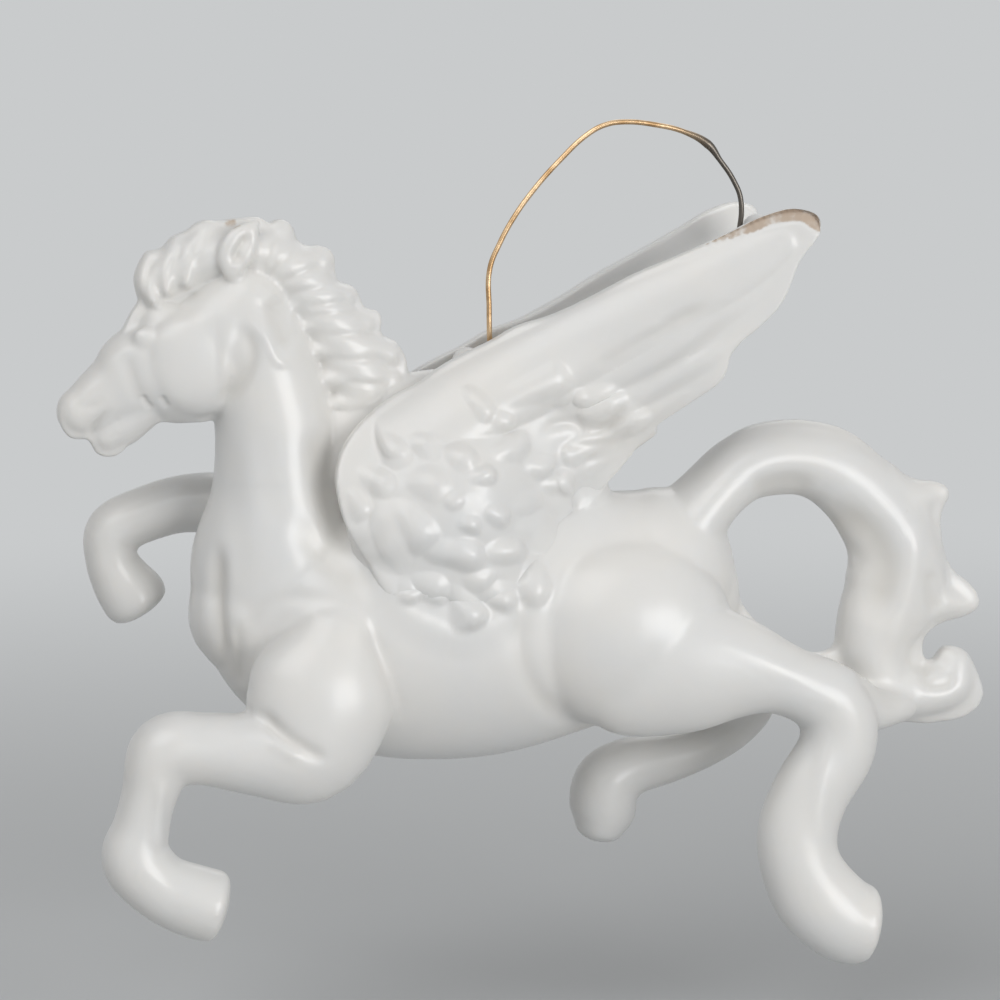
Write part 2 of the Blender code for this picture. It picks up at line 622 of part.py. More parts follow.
def core_skin():
    """Model the casting skin that runs from the muzzle through the barrel to the tail."""
    mesh = bmesh.new()
    for form, half_depth in (
        (BARREL, BARREL_HALF_DEPTH), (NECK, NECK_HALF_DEPTH), (HEAD, HEAD_HALF_DEPTH),
        (CHIN, CHIN_HALF_DEPTH), (WITHERS, WITHERS_HALF_DEPTH), (CREST, MANE_HALF_DEPTH),
        (TAIL, TAIL_HALF_DEPTH), *((lock, MANE_HALF_DEPTH) for lock in MANE_LOCKS),
    ):
        sweep(mesh, form, 0.0, half_depth)
    for side in (-1.0, 1.0):
        sweep(mesh, EAR, side * EAR_STAND_OFF, EAR_HALF_DEPTH)
        swell(mesh, CHEEK, side)
    swell(mesh, FOREHEAD)
    swell(mesh, RUMP)
    web(mesh, TAIL_WEB_THICKNESS, TAIL_OUTLINE, TAIL_OPENING)
    web(mesh, MANE_WEB_THICKNESS, MANE_OUTLINE)
    web(mesh, FACE_WEB_THICKNESS, FACE_OUTLINE)
    middle = seat_centre(FRONT_SEAT, -hinge_line())
    across = Vector((0.0, seat_radius(), 0.0))
    rod(mesh, middle - across, middle + across, seat_radius())
    close_forms(mesh)
    return thin_out(fuse_clay(new_object("core_skin", mesh), CLAY_GRAIN, SMOOTHING_ROUNDS), CORE_FACES)


def limb(name, stations, stand_off, half_depth, haunch_side=0.0):
    """Model one leg, from the shoulder or hip down to the blunt sole of its hoof.

    A hind leg carries the haunch of its side, which is -1 for the near side and 1 for the far one.
    """
    mesh = bmesh.new()
    sweep(mesh, stations, stand_off, half_depth, HOOF_BLUNTNESS)
    if haunch_side:
        swell(mesh, HAUNCH, haunch_side)
    close_forms(mesh)
    return thin_out(fuse_clay(new_object(name, mesh), CLAY_GRAIN, SMOOTHING_ROUNDS), LIMB_FACES)


def bending(places, posts):
    """Return how a thin sheet held up by each post alone would rise at each place."""
    gaps = np.linalg.norm(places[:, None, :] - posts[None, :, :], axis=2)
    return gaps ** 2 * np.log(np.maximum(gaps, 0.001))


def wing_stand_off(places):
    """Return how far the wing's middle surface stands off the figure's middle plane at each place.

    The wing is a gently warped sheet: the one that bends least through the measured stand-offs.
    """
    known = np.array(WING_STAND_OFFS)
    posts = known[:, :2]
    level = np.hstack((np.ones((len(known), 1)), posts))
    system = np.block([[bending(posts, posts), level], [level.T, np.zeros((3, 3))]])
    pulls = np.linalg.solve(system, np.concatenate((known[:, 2], np.zeros(3))))
    places = np.array(places, dtype=float)
    return bending(places, posts) @ pulls[:len(known)] + pulls[len(known)] + places @ pulls[-2:]


def web(mesh, thickness, *loops):
    """Add a flat plate in the middle plane: an outline drawn as a smooth curve, then its openings."""
    curve = bpy.data.curves.new("web", "CURVE")
    curve.dimensions = "2D"
    curve.fill_mode = "BOTH"
    curve.extrude = thickness / 2.0
    curve.resolution_u = 3
    for loop in loops:
        spline = curve.splines.new("BEZIER")
        spline.bezier_points.add(len(loop) - 1)
        spline.use_cyclic_u = True
        for point, place in zip(spline.bezier_points, loop):
            point.co = (place[0], place[1], 0.0)
            point.handle_left_type = "AUTO"
            point.handle_right_type = "AUTO"
    item = bpy.data.objects.new("web", curve)
    bpy.context.scene.collection.objects.link(item)
    bpy.context.view_layer.update()
    graph = bpy.context.evaluated_depsgraph_get()
    flat = bpy.data.meshes.new_from_object(item.evaluated_get(graph))
    flat.transform(Matrix.Rotation(math.pi / 2.0, 4, "X"))
    mesh.from_mesh(flat)
    bpy.data.meshes.remove(flat)
    discard(item)
    bmesh.ops.remove_doubles(mesh, verts=mesh.verts[:], dist=0.001)


def hinge_line():
    """Return the unit direction from the front wire seat to the rear one."""
    return (REAR_SEAT - FRONT_SEAT).normalized()


def seat_radius():
    """Return the radius of the lug that holds one end of the wire."""
    return (WIRE_END_LENGTH + WIRE_END_CLEARANCE + WIRE_SEAT_WALL) / 2.0


def seat_centre(seat, outward):
    """Return the middle of the lug whose bore opens just beyond the wire's bend."""
    return seat + outward * (WIRE_DIAMETER / 2.0 + 2.0 * WIRE_END_CLEARANCE + seat_radius())


def rod(mesh, start, end, radius, sides=16):
    """Add a plain round bar between two points."""
    along = end - start
    turn = Vector((0.0, 0.0, 1.0)).rotation_difference(along.normalized()).to_matrix().to_4x4()
    matrix = Matrix.Translation((start + end) / 2.0) @ turn
    bmesh.ops.create_cone(
        mesh, cap_ends=True, segments=sides, radius1=radius, radius2=radius, depth=along.length,
        matrix=matrix,
    )


def bore_for_wire(item, seat, outward):
    """Drill the blind hole that one end of the wire sits in, from the side of the wire's bend."""
    bore = bmesh.new()
    mouth = seat_centre(seat, outward) - outward * seat_radius() * 1.5
    blind_end = seat + outward * (WIRE_DIAMETER / 2.0 + WIRE_END_CLEARANCE + WIRE_END_LENGTH)
    rod(bore, mouth, blind_end, WIRE_DIAMETER / 2.0 + WIRE_END_CLEARANCE)
    cutter = new_object("wire_bore", bore)
    cut(item, cutter)
    discard(cutter)


def wing(name, side, forward, tilt, has_lug):
    """Model one wing with its coverts and feathers.

    The wing is modelled lying flat, with its outer face towards -Y, and then bent into place.

    Args:
        name: name of the casting.
        side: -1 for the wing towards the viewer and 1 for the far one.
        forward: how far the wing is set towards the head.
        tilt: how far the wing is turned about its tip, root down.
        has_lug: whether this wing carries the lug for the rear end of the wire.
    """
    mesh = bmesh.new()
    web(mesh, WING_THICKNESS, WING_OUTLINE)
    for feather in WING_FEATHERS:
        sweep(mesh, feather, -FEATHER_STAND_OFF, FEATHER_HALF_DEPTH)
    for covert in COVERTS:
        swell(mesh, covert)
    close_forms(mesh)
    flank = BVHTree.FromBMesh(mesh)
    for x, z, radius in COVERT_KNOBS:
        surface = flank.ray_cast(Vector((x, -PARTING_BLOCK_SIZE, z)), Vector((0.0, 1.0, 0.0)))[0]
        height = radius * KNOB_HEIGHT_SHARE
        swell(mesh, Swelling((x, surface.y + radius * KNOB_SINK_SHARE, z), (radius, height, radius)))
    if has_lug:
        middle = seat_centre(REAR_SEAT, hinge_line())
        reach = wing_stand_off([(middle.x, middle.z)])[0]
        inner_end = Vector((middle.x, reach + seat_radius(), middle.z))
        rod(mesh, Vector((middle.x, 0.0, middle.z)), inner_end, seat_radius())
    close_forms(mesh)
    item = fuse_clay(new_object(name, mesh), WING_GRAIN, WING_SMOOTHING_ROUNDS)
    bend_into_place(item, side, forward, tilt)
    return thin_out(item, WING_FACES)


def bend_into_place(item, side, forward, tilt):
    """Thin a flat wing towards its tip, bend it to its stand-offs and set it on its side."""
    mesh = bmesh.new()
    mesh.from_mesh(item.data)
    stand_offs = wing_stand_off([(vert.co.x / MM, vert.co.z / MM) for vert in mesh.verts])
    for vert, stand_off in zip(mesh.verts, stand_offs):
        share = min(max((vert.co.x / MM - THINNING_START) / (THINNING_END - THINNING_START), 0.0), 1.0)
        if abs(vert.co.y) < FLAT_WING_HALF_DEPTH * MM:
            vert.co.y *= 1.0 - (1.0 - WING_TIP_THINNING) * share * share * (3.0 - 2.0 * share)
        vert.co.y = (stand_off * MM - vert.co.y) * side
    tip = WING_TIP * MM
    turn = Matrix.Translation(tip) @ Matrix.Rotation(-tilt, 4, "Y") @ Matrix.Translation(-tip)
    turn = Matrix.Translation((-forward * MM, 0.0, 0.0)) @ turn
    bmesh.ops.transform(mesh, matrix=turn, verts=mesh.verts[:])
    if side > 0.0:
        bmesh.ops.reverse_faces(mesh, faces=mesh.faces[:])
    mesh.to_mesh(item.data)
    mesh.free()


def hanger_wire():
    """Model the wire bail: one length of wire whose bent ends sit in the lugs of the wings."""
    along = hinge_line()
    front_end = FRONT_SEAT - along * WIRE_END_LENGTH
    rear_end = REAR_SEAT + along * WIRE_END_LENGTH
    route = [front_end, FRONT_SEAT]
    route += [Vector((x, 0.0, z)) for x, z in WIRE_ROUTE]
    route += [REAR_SEAT, rear_end]
    curve = bpy.data.curves.new("hanger_wire", "CURVE")
    curve.dimensions = "3D"
    curve.bevel_depth = WIRE_DIAMETER / 2.0 * MM
    curve.bevel_resolution = 2
    curve.resolution_u = 3
    curve.use_fill_caps = True
    spline = curve.splines.new("BEZIER")
    spline.bezier_points.add(len(route) - 1)
    corners = (0, 1, len(route) - 2, len(route) - 1)
    for index, (point, place) in enumerate(zip(spline.bezier_points, route)):
        point.co = place * MM
        handle = "VECTOR" if index in corners else "AUTO"
        point.handle_left_type = handle
        point.handle_right_type = handle
    item = bpy.data.objects.new("hanger_wire", curve)
    bpy.context.scene.collection.objects.link(item)
    return item


def finish(item, material, name):
    """Name a piece, give it its material and shade its round faces smooth."""
    item.name = name
    item.data.name = name
    item.data.materials.clear()
    item.data.materials.append(material)
    if item.type == "MESH":
        item.data.shade_smooth()
        item.data.set_sharp_from_angle(angle=math.radians(50.0))


def main():
    """Build every casting and the wire bail."""
    clear_scene()
    glaze = porcelain()
    core = core_skin()
    core_cutter = swollen(core, LUTING_GAP, "core_cutter")
    near_foreleg = limb("near_foreleg", NEAR_FORELEG, -FORELEG_STAND_OFF, FORELEG_HALF_DEPTH)
    far_foreleg = limb("far_foreleg", FAR_FORELEG, FAR_FORELEG_STAND_OFF, FORELEG_HALF_DEPTH)
    near_hind_leg = limb("near_hind_leg", NEAR_HIND_LEG, -HIND_LEG_STAND_OFF, HIND_LEG_HALF_DEPTH, -1.0)
    far_hind_leg = limb("far_hind_leg", FAR_HIND_LEG, FAR_HIND_LEG_STAND_OFF, HIND_LEG_HALF_DEPTH, 1.0)
    legs = (near_foreleg, far_foreleg, near_hind_leg, far_hind_leg)
    for leg in legs:
        cut(leg, core_cutter)
    near_wing = wing("near_wing", -1.0, 0.0, 0.0, True)
    far_wing = wing("far_wing", 1.0, FAR_WING_FORWARD, FAR_WING_TILT, False)
    for flyer, side_legs in ((near_wing, (near_foreleg, near_hind_leg)),
                             (far_wing, (far_foreleg, far_hind_leg))):
        cut(flyer, core_cutter)
        for leg in side_legs:
            leg_cutter = swollen(leg, LUTING_GAP, "leg_cutter")
            cut(flyer, leg_cutter)
            discard(leg_cutter)
    discard(core_cutter)

    head = copy_of(core, "head_and_neck")
    tail = copy_of(core, "tail")
    torso = copy_of(core, "torso")
    discard(core)
    keep_beyond(head, ((NECK_SEAM, NECK_SEAM_NORMAL),))
    keep_beyond(tail, ((TAIL_SEAM, TAIL_SEAM_NORMAL), (SWITCH_SEAM, SWITCH_SEAM_NORMAL)))
    remove_beyond(torso, NECK_SEAM, NECK_SEAM_NORMAL)
    remove_beyond(torso, TAIL_SEAM, TAIL_SEAM_NORMAL)
    remove_beyond(torso, SWITCH_SEAM, SWITCH_SEAM_NORMAL)
    bore_for_wire(torso, FRONT_SEAT, -hinge_line())
    bore_for_wire(near_wing, REAR_SEAT, hinge_line())

    for item in (torso, head, near_wing, far_wing, tail, *legs):
        finish(item, glaze, item.name)
    finish(hanger_wire(), brass(), "hanger_wire")


main()
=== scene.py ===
"""Looks of the pegasus figurine: glazed white porcelain hung from a thin brass wire.

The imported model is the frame. The glazed pieces are made as a modeller works in clay: soft forms
are swept through oval sections and melted into one skin, which is then carved with shallow strokes
and set with short covert feathers. Shapes are in millimetres and become metres when a piece is
made. The head points to -X, the near side is -Y and the origin is the top of the wire.
"""
import logging
import math
from collections.abc import Sequence
from dataclasses import dataclass, replace
from enum import Enum

import bmesh
import bpy
import numpy as np
from mathutils import Matrix, Vector
from mathutils.bvhtree import BVHTree

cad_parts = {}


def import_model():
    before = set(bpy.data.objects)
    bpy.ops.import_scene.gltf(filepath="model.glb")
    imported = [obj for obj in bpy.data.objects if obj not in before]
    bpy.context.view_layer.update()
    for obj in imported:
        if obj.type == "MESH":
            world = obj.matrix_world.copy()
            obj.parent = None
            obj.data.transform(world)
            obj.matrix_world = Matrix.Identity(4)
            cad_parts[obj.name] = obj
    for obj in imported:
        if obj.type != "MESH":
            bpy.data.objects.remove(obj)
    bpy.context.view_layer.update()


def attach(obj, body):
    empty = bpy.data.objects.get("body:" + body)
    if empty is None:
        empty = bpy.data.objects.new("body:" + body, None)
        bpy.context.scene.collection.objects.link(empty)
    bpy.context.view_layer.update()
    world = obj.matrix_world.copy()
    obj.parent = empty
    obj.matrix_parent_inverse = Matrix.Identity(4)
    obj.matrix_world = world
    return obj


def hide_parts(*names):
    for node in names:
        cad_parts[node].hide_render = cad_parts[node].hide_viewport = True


log = logging.getLogger("pegasus")
MM = 0.001
SECTION_SIDES = 64
STEPS_BETWEEN_STATIONS = 6
END_ROUNDING = (0.3, 0.6, 0.85, 0.97)
SMOOTHING = 0.5
HOOF_BLUNTNESS = 0.3
FOLDED_HOOF_BLUNTNESS = 0.6
STROKE_REACH = 2.6
TIP_STEEPNESS = 1.5
MERGING = 5.0
UNEVENNESS = 0.30
UNEVEN_WAVES = ((0.3, 0.8), (0.7, -0.4))
SAG_FADE = 0.6
SLOPE_GROWTH = 0.7
BARE_SHARE = 0.7
BARE_EDGE = 0.5
PRESS_FIRMNESS = 3.0

Line = tuple[tuple[float, float], ...]


class Flank(Enum):
    """Which side of the figure is carved."""

    NEAR = -1
    BOTH = 0
    FAR = 1

    def facing(self, points: np.ndarray, normals: np.ndarray) -> np.ndarray:
        """Return how fully each point of the skin lies on this flank.

        Args:
            points: places on the skin.
            normals: outward directions there.

        Returns:
            One share from 0 to 1 for each point.
        """
        if self is Flank.BOTH:
            return np.ones(len(points))
        outward = smooth_step(normals[:, 1] * self.value, 0.0, 0.5)
        return outward * smooth_step(points[:, 1] * self.value, -0.5, 0.5)


@dataclass(frozen=True)
class Station:
    """One oval section of a swept form, in millimetres.

    Args:
        x: place along the figure.
        z: height.
        half_height: half of the section's height across its path.
        half_depth: half depth of the section, across the figure.
        y: place across the figure.
    """

    x: float
    z: float
    half_height: float
    half_depth: float
    y: float = 0.0


@dataclass(frozen=True)
class Stroke:
    """A soft groove along a line seen from the side, or a ridge where its depth is negative.

    Args:
        path: points of the line as x and z, in millimetres.
        width: distance at which two thirds of the depth are gone, in millimetres.
        depth: how deep the groove sinks below the skin, in millimetres.
        flank: the side of the figure that is carved.
        fade: share of the line's length over which each end runs out.
    """

    path: Line
    width: float
    depth: float
    flank: Flank = Flank.BOTH
    fade: float = 0.25

    def sink(self, points: np.ndarray, normals: np.ndarray) -> np.ndarray:
        """Return how deep the stroke sinks each point.

        Args:
            points: places on the skin, in millimetres.
            normals: outward directions there.

        Returns:
            One depth in millimetres for each point.
        """
        line = blended(np.array(self.path), STEPS_BETWEEN_STATIONS)
        flat = points[:, (0, 2)]
        reach = STROKE_REACH * self.width
        inside = (flat > line.min(axis=0) - reach) & (flat < line.max(axis=0) + reach)
        near = np.flatnonzero(inside.all(axis=1))
        sink = np.zeros(len(points))
        starts = line[:-1]
        runs = line[1:] - starts
        lengths = np.linalg.norm(runs, axis=1)
        offsets = flat[near][:, None, :] - starts
        shares = np.clip((offsets * runs).sum(axis=2) / lengths ** 2, 0.0, 1.0)
        gaps = np.linalg.norm(offsets - shares[..., None] * runs, axis=2)
        rows = np.arange(len(near))
        closest = gaps.argmin(axis=1)
        travelled = np.concatenate(([0.0], np.cumsum(lengths)))
        along = (travelled[closest] + shares[rows, closest] * lengths[closest]) / travelled[-1]
        ends = smooth_step(np.minimum(along, 1.0 - along), 0.0, max(self.fade, 0.001))
        hollow = np.exp(-(gaps[rows, closest] / self.width) ** 2)
        sink[near] = self.depth * hollow * ends * self.flank.facing(points[near], normals[near])
        return sink


@dataclass(frozen=True)
class Covert:
    """A short covert feather: it rises gently from its root and ends in a steep round tip.

    Args:
        x: place of its highest point along the figure.
        z: height of that point.
        radius: half of its width.
        rise: how far it stands off the skin.
        aim: direction of its tip as an angle from the tail's side, in degrees.
        reach: its length towards the root, as a multiple of the radius.
    """

    x: float
    z: float
    radius: float
    rise: float
    aim: float = -20.0
    reach: float = 1.7

    def lift(self, x: np.ndarray, z: np.ndarray) -> np.ndarray:
        """Return how far the feather lifts each place.

        Args:
            x: places along the figure.
            z: heights.

        Returns:
            One rise in millimetres for each place.
        """
        turn = math.radians(self.aim)
        ahead = (x - self.x) * math.cos(turn) + (z - self.z) * math.sin(turn)
        aside = (z - self.z) * math.cos(turn) - (x - self.x) * math.sin(turn)
        length = np.where(ahead > 0.0, 1.0, self.reach) * self.radius
        gap = (ahead / length) ** 2 + (aside / self.radius) ** 2
        return self.rise * np.clip(1.0 - gap, 0.0, 1.0) ** TIP_STEEPNESS


@dataclass(frozen=True)
class Egg:
    """An egg-shaped swelling, in millimetres.

    Args:
        centre: its middle.
        radii: its half sizes along x, y and z.
        turn: angle by which it is turned about y, in degrees.
    """

    centre: tuple[float, float, float]
    radii: tuple[float, float, float]
    turn: float = 0.0

    def on_side(self, side: float) -> "Egg":
        """Return the same swelling on the near side, for -1, or on the far one, for 1."""
        return replace(self, centre=(self.centre[0], self.centre[1] * side, self.centre[2]))


def smooth_step(values: np.ndarray, low: float, high: float) -> np.ndarray:
    """Return 0 below the low value, 1 above the high one and a soft step between them.

    Args:
        values: the values to step.
        low: where the step starts.
        high: where the step ends.

    Returns:
        One share from 0 to 1 for each value.
    """
    share = np.clip((values - low) / (high - low), 0.0, 1.0)
    return share * share * (3.0 - 2.0 * share)


def blended(rows: np.ndarray, steps: int) -> np.ndarray:
    """Return the rows with smooth rows in between.

    Args:
        rows: the rows to pass through.
        steps: number of steps from each row to the next.

    Returns:
        The denser rows.
    """
    rows = np.vstack((2.0 * rows[0] - rows[1], rows, 2.0 * rows[-1] - rows[-2]))
    share = np.arange(steps)[:, None] / steps
    dense = []
    for before, start, end, after in zip(rows, rows[1:], rows[2:], rows[3:]):
        slope = (end - before) * share
        bend = 2.0 * before - 5.0 * start + 4.0 * end - after
        twist = 3.0 * start - before - 3.0 * end + after
        dense.append(0.5 * (2.0 * start + slope + bend * share ** 2 + twist * share ** 3))
    return np.vstack((*dense, rows[-2]))


def bending(places: np.ndarray, posts: np.ndarray) -> np.ndarray:
    """Return how a thin sheet held up by each post alone would rise at each place.

    Args:
        places: points of the sheet.
        posts: points that hold it.

    Returns:
        One row for each place and one column for each post.
    """
    gaps = np.linalg.norm(places[:, None, :] - posts[None, :, :], axis=2)
    return gaps ** 2 * np.log(np.maximum(gaps, 0.001))


class Clay:
    """Soft forms, in millimetres, that are melted into one skin."""

    def __init__(self) -> None:
        """Start with no forms."""
        self.mesh = bmesh.new()

    def sweep(self, stations: Sequence[Station], bluntness: float = 1.0) -> None:
        """Sweep an oval section through the stations, with rounded ends.

        Args:
            stations: the sections to pass through.
            bluntness: how far the last end bulges; 1 is round and 0 is flat.
        """
        rows = np.array([(s.x, s.y, s.z, s.half_height, s.half_depth) for s in stations])
        rows = blended(rows, STEPS_BETWEEN_STATIONS)
        centres = [Vector(row[:3]) for row in rows]
        frames = []
        for index, row in enumerate(rows):
            before = centres[max(index - 1, 0)]
            after = centres[min(index + 1, len(centres) - 1)]
            frames.append((centres[index], (after - before).normalized(), row[3], row[4]))
        frames = [*rounded_end(frames[0], -1.0)[::-1], *frames, *rounded_end(frames[-1], bluntness)]
        matrices = [section_matrix(*frame) for frame in frames]
        ring = bmesh.ops.create_circle(
            self.mesh, cap_ends=True, segments=SECTION_SIDES, radius=1.0, matrix=matrices[0]
        )["verts"]
        face = ring[0].link_faces[0]
        for before, after in zip(matrices, matrices[1:]):
            face = bmesh.ops.extrude_discrete_faces(self.mesh, faces=[face])["faces"][0]
            bmesh.ops.transform(self.mesh, matrix=after @ before.inverted(), verts=face.verts)

    def plate(self, outline: Line, holes: Sequence[Line], thickness: float) -> None:
        """Add a flat plate that lies in the middle plane.

        Args:
            outline: points of its outer edge as x and z.
            holes: points of each opening in it.
            thickness: its thickness.
        """
        curve = bpy.data.curves.new("plate", "CURVE")
        curve.dimensions = "2D"
        curve.fill_mode = "BOTH"
        curve.extrude = thickness / 2.0
        curve.resolution_u = 4
        for loop in (outline, *holes):
            spline = curve.splines.new("BEZIER")
            spline.bezier_points.add(len(loop) - 1)
            spline.use_cyclic_u = True
            for point, place in zip(spline.bezier_points, loop):
                point.co = (*place, 0.0)
                point.handle_left_type = "AUTO"
                point.handle_right_type = "AUTO"
        item = bpy.data.objects.new("plate", curve)
        bpy.context.scene.collection.objects.link(item)
        bpy.context.view_layer.update()
        graph = bpy.context.evaluated_depsgraph_get()
        flat = bpy.data.meshes.new_from_object(item.evaluated_get(graph))
        flat.transform(Matrix.Rotation(math.pi / 2.0, 4, "X"))
        self.mesh.from_mesh(flat)
        bpy.data.meshes.remove(flat)
        bpy.data.objects.remove(item, do_unlink=True)
        bmesh.ops.remove_doubles(self.mesh, verts=self.mesh.verts[:], dist=0.001)

    def swell(self, egg: Egg) -> None:
        """Add an egg-shaped swelling.

        Args:
            egg: the swelling.
        """
        matrix = Matrix.Translation(egg.centre) @ Matrix.Rotation(math.radians(egg.turn), 4, "Y")
        bmesh.ops.create_uvsphere(self.mesh, u_segments=32, v_segments=20, radius=1.0,
                                  matrix=matrix @ Matrix.Diagonal((*egg.radii, 1.0)))

    def rod(self, start: Vector, end: Vector, radius: float) -> None:
        """Add a round bar between two points.

        Args:
            start: middle of one end.
            end: middle of the other end.
            radius: its radius.
        """
        along = end - start
        turn = Vector((0.0, 0.0, 1.0)).rotation_difference(along.normalized()).to_matrix().to_4x4()
        bmesh.ops.create_cone(
            self.mesh, cap_ends=True, segments=SECTION_SIDES, radius1=radius, radius2=radius,
            depth=along.length, matrix=Matrix.Translation((start + end) / 2.0) @ turn,
        )

    def to_object(self, name: str) -> bpy.types.Object:
        """Close every form and turn the clay into an object, in metres.

        Args:
            name: name of the object.

        Returns:
            The object, linked to the scene.
        """
        open_edges = [edge for edge in self.mesh.edges if edge.is_boundary]
        bmesh.ops.holes_fill(self.mesh, edges=open_edges, sides=0)
        bmesh.ops.recalc_face_normals(self.mesh, faces=self.mesh.faces[:])
        bmesh.ops.scale(self.mesh, vec=(MM, MM, MM), verts=self.mesh.verts[:])
        data = bpy.data.meshes.new(name)
        self.mesh.to_mesh(data)
        self.mesh.free()
        item = bpy.data.objects.new(name, data)
        bpy.context.scene.collection.objects.link(item)
        return item

    def fuse(self, name: str, grain: float, rounds: int) -> "Skin":
        """Melt the forms into one skin.

        Args:
            name: name of the piece.
            grain: size of the skin's faces, in millimetres.
            rounds: how often the creases between the forms are smoothed.

        Returns:
            The skin, ready to be carved.
        """
        item = self.to_object(name)
        remesh = item.modifiers.new("one_skin", "REMESH")
        remesh.mode = "VOXEL"
        remesh.voxel_size = grain * MM
        smooth = item.modifiers.new("soft_creases", "SMOOTH")
        smooth.factor = SMOOTHING
        smooth.iterations = rounds
        settle(item)
        return Skin(item)


def section_matrix(centre: Vector, along: Vector, half_height: float, half_depth: float) -> Matrix:
    """Return the matrix that lays a unit circle into one section of a form.

    Args:
        centre: middle of the section.
        along: unit direction of the form there.
        half_height: half height of the section.
        half_depth: half depth of the section.

    Returns:
        The matrix.
    """
    upright = Vector((0.0, 1.0, 0.0)).cross(along).normalized()
    sideways = along.cross(upright).normalized()
    axes = Matrix((upright, sideways, along)).transposed().to_4x4()
    return Matrix.Translation(centre) @ axes @ Matrix.Diagonal((half_height, half_depth, 1.0, 1.0))


def rounded_end(frame: tuple, sense: float) -> list[tuple]:
    """Return the ever smaller sections that round off one end of a form.

    Args:
        frame: centre, direction, half height and half depth of the last full section.
        sense: how far the end bulges; 1 is round and a negative one lies before the start.

    Returns:
        The sections, from the largest to the smallest.
    """
    centre, along, half_height, half_depth = frame
    reach = min(half_height, half_depth) * sense
    sections = []
    for share in END_ROUNDING:
        narrow = math.sqrt(1.0 - share ** 2)
        place = centre + along * reach * share
        sections.append((place, along, half_height * narrow, half_depth * narrow))
    return sections


def settle(item: bpy.types.Object) -> None:
    """Replace an object's mesh by the result of its modifiers.

    Args:
        item: the object.
    """
    bpy.context.view_layer.update()
    graph = bpy.context.evaluated_depsgraph_get()
    data = bpy.data.meshes.new_from_object(item.evaluated_get(graph))
    item.modifiers.clear()
    old = item.data
    item.data = data
    bpy.data.meshes.remove(old)
    data.name = item.name


def read_points(item: bpy.types.Object) -> np.ndarray:
    """Return the points of an object's mesh, in millimetres."""
    points = np.empty(len(item.data.vertices) * 3, dtype=np.float32)
    item.data.vertices.foreach_get("co", points)
    return points.reshape(-1, 3).astype(float) / MM


